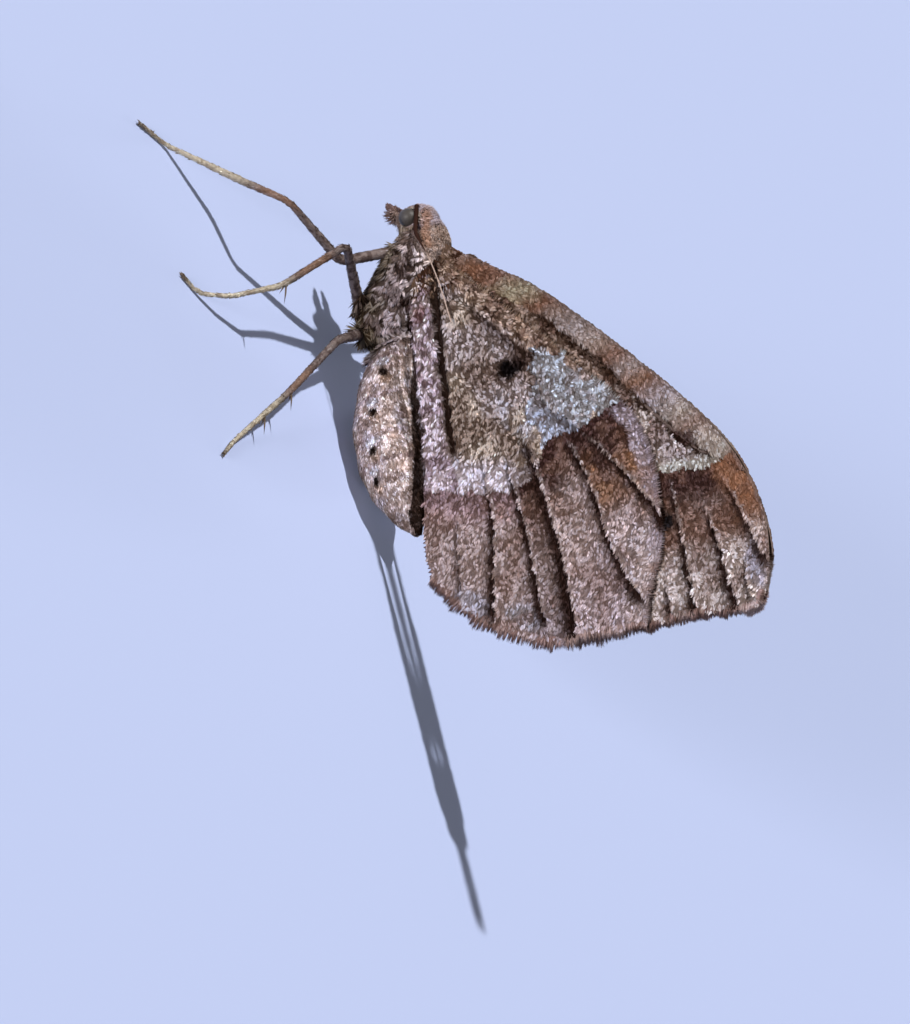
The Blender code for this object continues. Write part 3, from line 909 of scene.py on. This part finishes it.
def wing_scales(name, wing, paint, sign, lift, look, seed, count, hidden_by=None):
    """The scales over the wing's outer face."""
    draw = np.random.default_rng(seed)
    spots, way, inner = wing_spots(wing, count, draw, hidden_by)
    here, along, normal = wing_frame(wing, spots, way, sign, lift)
    count = len(spots)
    curl = curls(spots, CURL, 201)
    swirl = 2.2 * (noise(spots, CURL * 1.3, 208) - 0.5)
    along = turned(along, normal, (swirl + draw.normal(0, 0.25, count)) * (0.1 + 0.9 * inner))
    length = draw.uniform(*SCALE_LENGTH, count)
    width = draw.uniform(*SCALE_WIDTH, count)
    rise = draw.uniform(0.004, 0.016, count) + 0.012 * curl
    roots = here + normal * (0.004 + 0.020 * curl * inner)[:, None]
    corners = scales(roots, along, normal, length, width, rise)
    depth = hindwing_depth(spots) if wing is HINDWING else forewing_depth(spots)
    coat(name, corners, fleck(paint(spots), draw, curl, 0.2, depth), wing_map(spots), look)


def wing_root_hair(name, wing, sign, lift, look, seed, count, reach):
    """Long flat hair over the narrow base of a wing."""
    draw = np.random.default_rng(seed)
    out = reach * draw.random(count) ** 0.8
    across = draw.random(count)
    spots = wing_plane(wing, across, out)
    way = unit(wing_plane(wing, across, out + 0.02) - spots)
    here, along, normal = wing_frame(wing, spots, way, sign, lift)
    clump = 1.6 * (noise(spots, 0.25, seed + 1) - 0.5)
    along = turned(along, normal, clump + draw.normal(0, 0.18, count))
    length = draw.uniform(0.18, 0.32, count)
    width = draw.uniform(0.06, 0.09, count)
    rise = draw.uniform(0.01, 0.05, count)
    corners = scales(here - along * 0.10, along, normal, length, width, rise)
    dark = patches(spots, 0.2, seed + 2, 0.45, 0.65)
    tint = layered(plain((134, 110, 94), spots), dark=(dark, (78, 54, 42)))
    coat(name, corners, fleck(tint, draw, curls(spots, 0.25, 211), 0.25), wing_map(spots), look)


FRINGE_TEETH = 64
# Each row: wing, edge, its stretch of the edge, length, count, and whether the tips form teeth.
FRINGE_EDGES = (
    (HINDWING, "outer", 0.0, 1.0, 0.36, 1700, "teeth"),
    (HINDWING, "outer", 0.0, 1.0, 0.22, 1500, "even"),
    (HINDWING, "inner", 0.86, 1.0, 0.15, 260, "teeth"),
    (HINDWING, "front", 0.0, 1.0, 0.13, 1500, "ragged"),
    (FOREWING, "front", 0.88, 1.0, 0.10, 250, "ragged"),
    (FOREWING, "outer", 0.02, 0.74, 0.28, 1300, "teeth"),
    (FOREWING, "outer", 0.02, 0.74, 0.18, 1100, "even"),
)


def fringe_row(wing, edge, start, end, length, count, kind, draw):
    """One row of the fringe: feet, ways out, lengths, and which take the wing's own paint."""
    share = draw.uniform(start, end, count)
    tooth = (np.floor(share * FRINGE_TEETH) + 0.5) / FRINGE_TEETH
    foot, ahead = through(wing[edge], share), through(wing[edge], share + 0.01)
    step = unit(ahead - foot + 1e-9)
    out = np.column_stack([step[:, 1], -step[:, 0]])
    out *= np.sign(((foot - outline(wing).mean(0)) * out).sum(1))[:, None]
    uneven = 0.62 + 0.5 * noise(np.column_stack([tooth * 40, 0 * tooth]), 1.0, 41)
    uneven += draw.normal(0, 0.06, count)
    lean = through(wing[edge], tooth + 0.25 * (share - tooth)) - foot
    if kind != "teeth":
        lean = lean * 0.0
        uneven = draw.uniform(*((0.2, 1.3) if kind == "ragged" else (0.5, 1.0)), count)
    shorter = 1 - 0.55 * fall(0.0, 0.16, share) * (edge == "outer")
    own_paint = np.full(count, edge == "front")
    return foot - out * 0.10, unit(out + lean / length), length * uneven * shorter, own_paint


def fringe(name, wing, paint, sign, lift, look, seed):
    """The fringe of long scales along the margins."""
    draw = np.random.default_rng(seed)
    rows = [fringe_row(*row, draw) for row in FRINGE_EDGES if row[0] is wing]
    foot, out, length, own_paint = (np.concatenate(group) for group in zip(*rows))
    count = len(foot)
    side = wing_side(wing, foot) - draw.uniform(0, SHEET_THICKNESS, count)
    here = wing_space(wing, foot, side, sign, lift)
    along = unit(wing_space(wing, foot + out * 0.1, side, sign, lift) - here)
    normal = np.tile((float(sign), 0, 0), (count, 1))
    splay = turned(along, normal, draw.normal(0, 0.05, count))
    along = unit(splay + normal * draw.normal(0, 0.07, count)[:, None])
    normal = lying(normal, along)
    corners = hairs(here, along, normal, length + 0.10, draw.uniform(0.022, 0.038, count), 0.0, 0.01)
    pale = patches(foot, 0.5, 42, 0.5, 0.75)
    tint = layered(plain((140, 112, 106), foot), pale=(pale, (172, 148, 144)))
    tint = np.where(own_paint[:, None], paint(foot), tint)
    tint = fleck(tint, draw, noise(foot, 0.12, 43), 0.2, 0.6)
    coat(name, corners, tint, wing_map(foot), look)


# ---- body ----


def ring_body(sections, grooves=0):
    """Rings of points of a body lofted through its sections, inside them by the coat's depth."""
    share = np.linspace(0, 1, BODY_RINGS)
    back, up, half_width, half_height = (row[:, None] for row in through(sections, share).T)
    groove = RING_GROOVE * 0.5 * (1 - np.cos(share * grooves * 2 * math.pi))[:, None]
    half_width = np.maximum(half_width - COAT_DEPTH - groove, 0.05)
    half_height = np.maximum(half_height - COAT_DEPTH - groove, 0.05)
    turn = np.linspace(0, 2 * math.pi, SKIN_SIDES, endpoint=False)
    across = half_width * np.cos(turn)
    return np.stack([across, np.repeat(back, SKIN_SIDES, 1), up + half_height * np.sin(turn)], axis=-1)


def rounded_path(points):
    """The points with each inner corner cut to a short bend."""
    points = np.asarray(points, float)
    path = [points[0]]
    for before, corner, after in zip(points[:-2], points[1:-1], points[2:]):
        for way in (before, after):
            gap = way - corner
            path.append(corner + gap * min(0.4, LEG_ROUNDING / np.linalg.norm(gap[:3])))
    path.append(points[-1])
    return np.array(path)


def runs(path):
    """How far along the path of (side, back, up, radius) each of its points is."""
    steps = np.linalg.norm(np.diff(path[:, :3], axis=0), axis=1)
    return np.concatenate([[0], np.cumsum(steps)])


def spaced(path, count):
    """Evenly spaced places along a path of (side, back, up, radius)."""
    run = runs(path)
    at = np.linspace(0, run[-1], count)
    return np.column_stack([np.interp(at, run, path[:, k]) for k in range(4)])


def tube_rings(path):
    """Rings along a path of (side, back, up, radius), with their outward directions and the path's."""
    spots = spaced(path, max(8, int(runs(path)[-1] / TUBE_STEP)))
    way = unit(np.gradient(spots[:, :3], axis=0))
    ring = round_path(way, (0.31, 0.17, 0.93), TUBE_SIDES)
    return spots[:, None, :3] + ring * spots[:, None, 3:], ring, way


def leg_path(name, sign):
    return rounded_path(LEG_PATHS[name]) * (sign, 1, 1, 1)


def ellipsoid(centre, half_sizes, rings=26, sides=32):
    """Rings of an ellipsoid."""
    down = np.linspace(0.06, math.pi - 0.06, rings)[:, None]
    turn = np.linspace(0, 2 * math.pi, sides, endpoint=False)
    height = np.repeat(np.cos(down), sides, 1)
    ring = np.stack([np.sin(down) * np.cos(turn), np.sin(down) * np.sin(turn), height], axis=-1)
    return np.array(centre) + ring * np.array(half_sizes)


def body_middle(back):
    """Height of the body's middle line and its half height at each place along the back."""
    stations = np.array(THORAX_SECTIONS[:-1] + ABDOMEN_SECTIONS[1:])
    stations = stations[np.argsort(stations[:, 0])]
    return np.interp(back, stations[:, 0], stations[:, 1]), np.interp(back, stations[:, 0], stations[:, 3])


def one_surface(shapes):
    """A closed mesh round all the rings, in millimetres."""
    vertices, faces, first = [], [], 0
    for rings in shapes:
        points, polygons = closed_rings(rings)
        vertices.append(points)
        faces += [[corner + first for corner in polygon] for polygon in polygons]
        first += len(points)
    mesh = bpy.data.meshes.new("skin_cage")
    mesh.from_pydata(np.vstack(vertices).tolist(), [], faces)
    cage = bpy.data.objects.new("skin_cage", mesh)
    bpy.context.scene.collection.objects.link(cage)
    remesh = cage.modifiers.new("one_surface", "REMESH")
    remesh.mode = "VOXEL"
    remesh.voxel_size = SKIN_VOXEL
    smooth = cage.modifiers.new("smooth", "SMOOTH")
    smooth.iterations = 3
    smooth.factor = 0.5
    graph = bpy.context.evaluated_depsgraph_get()
    made = bpy.data.meshes.new_from_object(cage.evaluated_get(graph))
    bpy.data.objects.remove(cage)
    return made


def skin_mesh(head_centre, head_half):
    """Head, thorax, abdomen, palps and legs made one closed surface, and its points in millimetres."""
    shapes = [
        ring_body(THORAX_SECTIONS),
        ring_body(ABDOMEN_SECTIONS, ABDOMEN_RINGS),
        # The head, and three rounds behind it that fill the neck.
        ellipsoid(head_centre + (0, 0.09, -0.02), head_half - COAT_DEPTH - (0, 0.10, 0.02)),
        ellipsoid(head_centre + (0, 0.42, 0), (0.44, 0.42, 0.46)),
        ellipsoid(head_centre + (0, 0.46, 0.20), (0.38, 0.60, 0.38)),
        ellipsoid(head_centre + (0, 1.00, 0.40), (0.42, 0.66, 0.40)),
    ]
    for _, sign in SIDES:
        shapes.append(tube_rings(np.array(PALP_PATH) * (sign, 1, 1, 1))[0])
        shapes += [tube_rings(leg_path(name, sign))[0] for name in LEG_PATHS]
    made = one_surface(shapes)
    points = np.empty(len(made.vertices) * 3, np.float32)
    made.vertices.foreach_get("co", points)
    points = points.reshape(-1, 3).astype(float)
    made.vertices.foreach_set("co", placed(points).astype(np.float32).ravel())
    made.update()
    return made, points


def leg_share(points):
    """How much of each point belongs to a leg, and its share of the way down that leg."""
    nearest = np.full(len(points), 9.0)
    share = np.zeros(len(points))
    for _, sign in SIDES:
        for name in LEG_PATHS:
            spots = spaced(leg_path(name, sign), LEG_STATIONS)
            gap = np.linalg.norm(points[:, None] - spots[None, :, :3], axis=2) - spots[None, :, 3]
            best = gap.argmin(1)
            value = gap[np.arange(len(points)), best]
            closer = value < nearest
            nearest = np.where(closer, value, nearest)
            share = np.where(closer, best / (LEG_STATIONS - 1), share)
    middle, half = body_middle(points[:, 1])
    outside = np.hypot(points[:, 0], points[:, 2] - middle) - np.maximum(half, 0.9)
    return fall(0.02, 0.06, nearest) * ramp(0.0, 0.15, outside), share


def leg_paint(points, share):
    """Brown speckled thighs and shins that fade to straw-coloured feet."""
    foot_speckle = ramp(0.62, 0.72, share) * patches(points, 0.12, 52, 0.58, 0.7)
    return layered(
        plain((114, 101, 98), points),
        speckle=(0.8 * patches(points, 0.10, 51, 0.48, 0.62), (72, 58, 56)),
        tan=(0.7 * ramp(0.40, 0.46, share) * fall(0.52, 0.60, share), (126, 96, 78)),
        straw=(ramp(0.56, 0.68, share), (178, 168, 150)),
        foot_speckle=(0.45 * foot_speckle, (118, 96, 82)),
        claw=(0.7 * ramp(0.96, 0.99, share), (84, 70, 60)),
    )


def body_paint(points):
    """The colours of head, thorax and abdomen, with painted shade along the top of the abdomen and rear
    thorax.
    """
    side, back, up = points.T
    middle, half = body_middle(back)
    height = (up - middle) / half
    patchy = height + 0.9 * (noise(points, 0.36, 66) - 0.5)
    dim = 0.35 + 0.4 * ramp(-0.2, 0.4, back)
    squeeze = (0.6, 1, 1)
    gap = points[:, None] * squeeze - through(HEAD_STRIPE, np.linspace(0, 1, 20)) * squeeze
    stripe = np.linalg.norm(gap, axis=2).min(1)
    tail = ramp(2.3, 2.9, back)
    tint = layered(
        plain((142, 126, 126), points),
        upper=(ramp(0.25, 0.65, height), (148, 133, 131)),
        front=(0.8 * fall(0.1, 0.5, back), (120, 102, 96)),
        under=(fall(-0.35, 0.25, patchy), (92, 79, 66)),
        shoulder=(0.85 * ramp(3.75, 3.95, up) * ramp(-0.5, -0.1, back), (172, 150, 140)),
        crown=(0.85 * fall(-0.5, -0.2, back) * ramp(3.45, 3.8, up), (190, 176, 188)),
        face=(fall(-0.9, -0.6, back) * fall(3.4, 3.8, up), (124, 106, 100)),
        mottle=(dim * patches(points, 0.26, 61, 0.54, 0.70), (64, 48, 44)),
        stripe=(0.8 * fall(0.06, 0.18, stripe), (178, 140, 120)),
        abdomen=(tail, (196, 177, 175)),
        belly=(0.7 * tail * fall(-0.8, -0.4, height), (150, 136, 124)),
        rose=(0.5 * tail * patches(points, 0.32, 64, 0.55, 0.75), (200, 170, 160)),
        lilac=(0.5 * tail * patches(points, 0.30, 65, 0.58, 0.75), (184, 178, 194)),
        brown=(0.6 * tail * patches(points, 0.24, 62, 0.55, 0.72), (126, 104, 100)),
        tail_end=(0.6 * ramp(6.2, 7.2, back) * patches(points, 0.3, 63, 0.45, 0.6), (104, 82, 70)),
    )
    # A near-black strip of painted shade along the top of the abdomen and rear thorax, where the wings close
    # over it.
    slant = np.degrees(np.arctan2(np.abs(side), np.maximum(up - middle, 1e-6)))
    strip = fall(-2, 2, slant - np.interp(back, WING_SHADE_PLACES, WING_SHADE_ANGLES))
    tint = layered(tint, strip=(0.97 * strip * ramp(1.2, 1.6, back), (34, 20, 14)))
    seen = points[:, 1:]
    for dot_back, dot_up in SIDE_DOTS:
        ring = fall(0.03, 0.09, np.abs(back - dot_back + 0.45)) * (1 - strip) * tail
        dot = blot(seen, (dot_back, dot_up), (0.15, 0.13)) * (np.abs(side) > 0.4)
        tint = layered(
            tint,
            ring=(0.5 * ring, (134, 112, 120)),
            bluish=(0.75 * blot(seen, (dot_back - 0.29, dot_up + 0.03), (0.13, 0.24)), (190, 188, 204)),
            smudge=(0.65 * blot(seen, (dot_back + 0.17, dot_up), (0.2, 0.18)), (138, 106, 78)),
            dot=(0.98 * dot, (18, 10, 7)),
        )
    return tint


def skin_paint(points):
    on_leg, share = leg_share(points)
    return blend(body_paint(points), leg_paint(points, share), on_leg)


def body_map(points):
    """The body's skin unrolled: along the back, and round its middle line."""
    middle, _ = body_middle(points[:, 1])
    turn = np.arctan2(points[:, 2] - middle, points[:, 0])
    return np.column_stack([(points[:, 1] + 2.0) / 11, (turn + math.pi) / (2 * math.pi + 0.1)])


def surface_spots(mesh, points, count, draw, keep):
    """Random places on the skin with their normals, those for which keep is true."""
    mesh.calc_loop_triangles()
    corners = np.empty(len(mesh.loop_triangles) * 3, np.int32)
    mesh.loop_triangles.foreach_get("vertices", corners)
    corners = corners.reshape(-1, 3)
    corners = corners[keep(points[corners].mean(1))]
    a, b, c = (points[corners[:, k]] for k in range(3))
    normal = np.cross(b - a, c - a)
    area = np.linalg.norm(normal, axis=1)
    pick = draw.choice(len(corners), count, p=area / area.sum())
    first, second = draw.random((2, count, 1))
    over = first + second > 1
    first, second = np.where(over, 1 - first, first), np.where(over, 1 - second, second)
    spots = a[pick] + (b - a)[pick] * first + (c - a)[pick] * second
    return spots, unit(normal[pick])


def on_abdomen(points):
    middle, half = body_middle(points[:, 1])
    near = np.hypot(points[:, 0], points[:, 2] - middle) < half + 0.06
    return near & (points[:, 1] > 2.35)


def on_neck(points):
    side, back, up = points.T
    return (back < 1.5) & (up > 3.62 + 0.35 * back) & (np.abs(side) < 0.9)


def on_thorax(points):
    side, back, up = points.T
    middle, half = body_middle(back)
    near = np.hypot(side * 1.15, up - middle) < half + 0.12
    return near & (back > -0.3) & (back < 2.5) & ~on_neck(points)


def off_floor(corners):
    """The corners with none below the floor."""
    corners[..., 2] = np.maximum(corners[..., 2], 0.0)
    return corners


def abdomen_scales(mesh, points, look):
    """Flat scales over the abdomen, along its length."""
    draw = np.random.default_rng(71)
    spots, normal = surface_spots(mesh, points, BODY_SCALES, draw, on_abdomen)
    count = len(spots)
    along = lying(np.tile((0, 1.0, -0.15), (count, 1)) + draw.normal(0, 0.28, (count, 3)), normal)
    length = draw.uniform(*SCALE_LENGTH, count) * (1 - 0.3 * ramp(6.4, 7.6, spots[:, 1]))
    width = draw.uniform(0.05, 0.08, count)
    rise = draw.uniform(0.01, 0.04, count)
    corners = off_floor(scales(spots, along, normal, length, width, rise))
    tint = fleck(body_paint(spots + along * 0.05), draw, curls(spots, 0.10, 221), 0.24, 0.8)
    coat("abdomen_scales", corners, tint, body_map(spots), look)


def thorax_hair(mesh, points, look):
    """Broad curly scales over the sides, and long soft hair below."""
    draw = np.random.default_rng(72)
    spots, normal = surface_spots(mesh, points, BODY_SCALES, draw, on_thorax)
    count = len(spots)
    middle, half = body_middle(spots[:, 1])
    low = fall(-0.75, -0.3, (spots[:, 2] - middle) / half)
    curl = curls(spots, 0.15, 231)
    clump = drift(spots, 0.20, 73)
    along = np.tile((0, 0.9, -0.45), (count, 1)) + 2.4 * clump * (1 - 0.5 * low)[:, None]
    along = lying(along + draw.normal(0, 0.12, (count, 3)), normal)
    length = draw.uniform(0.12, 0.20, count) * (1 + 1.2 * low)
    width = draw.uniform(0.045, 0.07, count) * (1 - 0.3 * low)
    rise = draw.uniform(0.015, 0.04, count) + 0.04 * curl + 0.10 * low
    roots = spots + normal * (0.06 * curl * (1 - low))[:, None]
    corners = scales(roots, along, normal, length, width, rise)
    tint = fleck(body_paint(spots), draw, curl, 0.25, 0.7 + 0.45 * ramp(0.0, 0.4, spots[:, 1]))
    coat("thorax_hair", corners, tint, body_map(spots), look)


def head_hair(mesh, points, look, eye_centre, eye_radius):
    """Short hair over the head, longer on the crown and chin, and the palps' own."""
    draw = np.random.default_rng(77)

    def eye_gap(places):
        """How far each place is from the middle of the nearer eye."""
        mirrored = np.column_stack([np.abs(places[:, 0]), places[:, 1:]])
        return np.linalg.norm(mirrored - eye_centre, axis=1)

    def on_head(places):
        ahead = (places[:, 1] < -0.25) & (np.abs(places[:, 0]) < 0.75) & (places[:, 2] > 2.6)
        return (ahead | on_neck(places)) & (eye_gap(places) > eye_radius + 0.02)

    spots, normal = surface_spots(mesh, points, HEAD_HAIRS, draw, on_head)
    count = len(spots)
    back, up = spots[:, 1], spots[:, 2]
    crown = ramp(3.5, 3.8, up) * fall(-0.6, -0.3, back)
    palp = fall(-1.25, -1.1, back)
    chin = (1 - palp) * fall(2.98, 3.08, up) * fall(-0.85, -0.7, back)
    way = blend(np.tile((0, 0.9, 0.12), (count, 1)), np.array((0, -0.9, -0.2)), palp)
    way = blend(way, np.array((0, -0.1, -1.0)), chin)
    clump = drift(spots, 0.3, 78)
    along = lying(way + 1.2 * clump + draw.normal(0, 0.15, (count, 3)), normal * (1 - 0.8 * chin)[:, None])
    length = draw.uniform(0.12, 0.20, count) * (1 + 0.3 * crown + 0.4 * chin - 0.4 * palp)
    width = draw.uniform(0.028, 0.045, count)
    rise = draw.uniform(0.02, 0.05, count) + 0.08 * crown
    corners = hairs(spots, along, normal, length, width, rise, draw.uniform(0.0, 0.03, count))
    tint = layered(
        body_paint(spots),
        eye_rim=(0.8 * fall(eye_radius + 0.04, eye_radius + 0.09, eye_gap(spots)), (162, 146, 132)),
        mouth=(0.7 * np.maximum(palp, chin), (112, 86, 84)),
    )
    tint = fleck(tint, draw, noise(spots, 0.15, 83), 0.18, 0.55)
    coat("head_hair", corners, tint, body_map(spots), look)


def leg_scales(look):
    """Small flat scales along the legs."""
    draw = np.random.default_rng(81)
    groups = []
    legs = [leg_path(name, sign) for _, sign in SIDES for name in LEG_PATHS]
    for row, path in enumerate(legs):
        rings, ring, way = tube_rings(path)
        at = draw.integers(0, len(rings), LEG_SCALES)
        turn = draw.integers(0, TUBE_SIDES, LEG_SCALES)
        spots = rings[at, turn] + way[at] * draw.uniform(-0.05, 0.05, (LEG_SCALES, 1))
        normal = ring[at, turn]
        along = lying(unit(way[at] + draw.normal(0, 0.22, (LEG_SCALES, 3))), normal)
        length = draw.uniform(0.07, 0.13, LEG_SCALES)
        width = draw.uniform(0.03, 0.05, LEG_SCALES)
        corners = scales(spots, along, normal, length, width, draw.uniform(0.004, 0.022, LEG_SCALES))
        share = at / (len(rings) - 1)
        tint = fleck(leg_paint(spots, share), draw, noise(spots, 0.12, 84), 0.2, 0.5)
        round_leg = (row + 0.1 + 0.8 * turn / TUBE_SIDES) / len(legs)
        groups.append((corners, tint, np.column_stack([share * 0.98, round_leg])))
    corners, tint, places = (np.concatenate(group) for group in zip(*groups))
    coat("leg_scales", off_floor(corners), tint, places, look)


def ahead_and_over(step):
    """The step's direction, and the level direction across it."""
    run = step / np.linalg.norm(step)
    return run, np.cross(run, (0, 0, 1.0))


def spurs_and_claws(look):
    """The stiff spurs of the shins and the paired claws of the feet."""
    blades = []
    for _, sign in SIDES:
        for name, marks in LEG_SPURS.items():
            path = np.array(LEG_PATHS[name])[:, :3] * (sign, 1, 1)
            for segment, share in marks:
                step = path[segment + 1] - path[segment]
                run, over = ahead_and_over(step)
                root = path[segment] + step * share
                blades.append((root, run * 0.30 + (0, 0.92, -0.1), SPUR_LENGTH, SPUR_WIDTH))
                blades.append((root, run * 0.85 - over * 0.45, SPUR_LENGTH * 0.6, SPUR_WIDTH))
            run, over = ahead_and_over(path[-1] - path[-2])
            for splay in (0.5, -0.5):
                blades.append((path[-1], run + over * splay, CLAW_LENGTH, CLAW_WIDTH))
    roots, ways, length, width = (np.array(group) for group in zip(*blades))
    along = unit(ways)
    normal = lying(np.tile((0, 0, 1.0), (len(along), 1)), along)
    corners = off_floor(hairs(roots, along, normal, length, width, 0.0, 0.015))
    places = np.column_stack([np.linspace(0.1, 0.9, len(along)), np.full(len(along), 0.5)])
    coat("leg_spurs", corners, plain((98, 84, 74), along), places, look)


def antenna(name, sign, look, node):
    """A thread of short rings, swept back over the wing. The right one lies lower and further out."""
    share = np.linspace(0, 1, ANTENNA_STEPS)
    path = through(ANTENNA_PATH, share) * (sign, 1, 1)
    if sign < 0:
        path += ramp(0.12, 0.5, share)[:, None] * (-0.12, 0, -0.42)
    radius = ANTENNA_RADIUS * (1 - 0.71 * ramp(0.24, 0.66, share))
    radius *= 1 + 0.18 * np.cos(share * ANTENNA_RINGS * 2 * math.pi)
    ring = round_path(unit(np.gradient(path, axis=0)), (0.2, 0.1, 1.0), ANTENNA_SIDES)
    # Dark near the head and pale further out: painted shade on the part by the head, and painted light where
    # it lies over the wing.
    tint = layered(plain((50, 31, 25), share), pale=(ramp(0.56, 0.66, share), (168, 146, 134)))
    rings = path[:, None] + ring * radius[:, None, None]
    tube_piece(name, rings, np.repeat(tint, ANTENNA_SIDES, axis=0), look, node)


def eye(name, centre, radius, look, node):
    """A compound eye."""
    rings = ellipsoid(centre, (radius, radius, radius))
    points = rings.reshape(-1, 3)
    pale = patches(points, 0.3, 91, 0.45, 0.6)
    tint = layered(plain((42, 39, 38), points), pale=(0.5 * pale, (84, 78, 74)))
    tube_piece(name, rings, tint, look, node)


# ---- setting ----


def camera():
    towards = Vector(CAMERA_TOWARDS).normalized()
    right = Vector(CAMERA_UP).cross(towards).normalized()
    over = towards.cross(right)
    lens = bpy.data.cameras.new("camera")
    lens.sensor_width = SENSOR
    lens.lens = SENSOR * CAMERA_DISTANCE / VIEW_HEIGHT
    made = bpy.data.objects.new("camera", lens)
    bpy.context.scene.collection.objects.link(made)
    aim = Vector(placed(CAMERA_AIM))
    turn = Matrix((right, over, towards)).transposed().to_4x4()
    made.matrix_world = Matrix.Translation(aim + towards * CAMERA_DISTANCE * MM) @ turn
    bpy.context.scene.camera = made


def floor():
    mesh = bpy.data.meshes.new("floor")
    corners = [(x * FLOOR_HALF, y * FLOOR_HALF, 0) for x, y in ((-1, -1), (1, -1), (1, 1), (-1, 1))]
    mesh.from_pydata(corners, [], [(0, 1, 2, 3)])
    look, surface = new_material("pale_floor", 0.85, 0.2)
    surface.inputs["Base Color"].default_value = FLOOR_COLOUR
    mesh.materials.append(look)
    made = bpy.data.objects.new("floor", mesh)
    bpy.context.scene.collection.objects.link(made)


def sun(name, towards, strength, angle, colour):
    lamp = bpy.data.lights.new(name, "SUN")
    lamp.energy = strength
    lamp.angle = math.radians(angle)
    lamp.color = colour
    made = bpy.data.objects.new(name, lamp)
    made.rotation_euler = Vector(towards).to_track_quat("Z", "Y").to_euler()
    bpy.context.scene.collection.objects.link(made)


def lights():
    sun("key_light", (0.0, -0.43, 1.0), 3.35, 1.6, (1.0, 0.98, 0.95))
    sun("fill_light", (1.0, 0.10, 0.14), 2.75, 14, (1.0, 0.96, 0.92))
    sun("far_fill", (-1.0, 0.10, 0.13), 1.4, 14, (1.0, 0.97, 0.94))
    world = bpy.data.worlds.new("studio")
    world.use_nodes = True
    sky = world.node_tree.nodes["Background"]
    sky.inputs["Color"].default_value = SKY_COLOUR
    sky.inputs["Strength"].default_value = 0.07
    bpy.context.scene.world = world
    bpy.context.scene.view_settings.view_transform = "Standard"


def middle_and_half(node):
    """Centre in (side, back, up) and half sizes of a node, in millimetres."""
    low, high = (np.array(corner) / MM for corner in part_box(node))
    return (low + high) / 2 + (0, MIDDLE_BACK, 0), (high - low) / 2


def wings(looks):
    """Sheets, scales, fringes, root hair and antenna of each side."""
    scale_look, sheet_look, hair_look = looks["wing_scale"], looks["wing_membrane"], looks["body_hair"]
    for (which, sign), seed in zip(SIDES, SIDE_SEEDS):
        lift = RIGHT_HINDWING_LIFT if sign < 0 else 0.0
        hind = (HINDWING, hindwing_paint, sign, lift)
        fore = (FOREWING, forewing_paint, sign, 0.0)
        wing_sheet(f"hindwing_sheet_{which}", *hind, sheet_look, f"hindwing_{which}")
        wing_sheet(f"forewing_sheet_{which}", *fore, sheet_look, f"forewing_{which}")
        wing_scales(f"hindwing_scales_{which}", *hind, scale_look, seed, HINDWING_SCALES)
        wing_scales(f"forewing_scales_{which}", *fore, scale_look, seed + 1, FOREWING_SCALES, HINDWING)
        fringe(f"hindwing_fringe_{which}", *hind, scale_look, seed + 2)
        fringe(f"forewing_fringe_{which}", *fore, scale_look, seed + 3)
        root_hair = (HINDWING, sign, lift, hair_look, seed + 4, *HINDWING_ROOT_HAIR)
        wing_root_hair(f"hindwing_root_hair_{which}", *root_hair)
        root_hair = (FOREWING, sign, 0.0, hair_look, seed + 7, *FOREWING_ROOT_HAIR)
        wing_root_hair(f"forewing_root_hair_{which}", *root_hair)
        antenna(f"antenna_thread_{which}", sign, looks["feeler"], f"antenna_{which}")


def body(looks):
    """The skin with its coat, and the eyes."""
    head_centre, head_half = middle_and_half("head")
    eye_centre, eye_half = middle_and_half("eye_left")
    eye_centre = eye_centre + (0, 0, EYE_RISE)
    eye_radius = float(eye_half.max()) * EYE_SHARE
    mesh, points = skin_mesh(head_centre, head_half)
    tinted(mesh, skin_paint(points))
    mesh.shade_smooth()
    covered = ["head", "thorax", "abdomen", "palp_left", "palp_right"]
    covered += [f"leg_{name}_{which}" for name in LEG_PATHS for which, _ in SIDES]
    piece("skin", mesh, looks["skin"], covered)
    abdomen_scales(mesh, points, looks["wing_scale"])
    thorax_hair(mesh, points, looks["body_hair"])
    head_hair(mesh, points, looks["body_hair"], eye_centre, eye_radius)
    leg_scales(looks["leg_scale"])
    spurs_and_claws(looks["leg_scale"])
    glass = eye_material()
    for which, _ in SIDES:
        centre, _ = middle_and_half(f"eye_{which}")
        eye(f"eye_ball_{which}", centre + (0, 0, EYE_RISE), eye_radius, glass, f"eye_{which}")


def main():
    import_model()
    looks = {name: material(name, *sizes) for name, sizes in LOOKS.items()}
    wings(looks)
    body(looks)
    floor()
    lights()
    camera()


main()
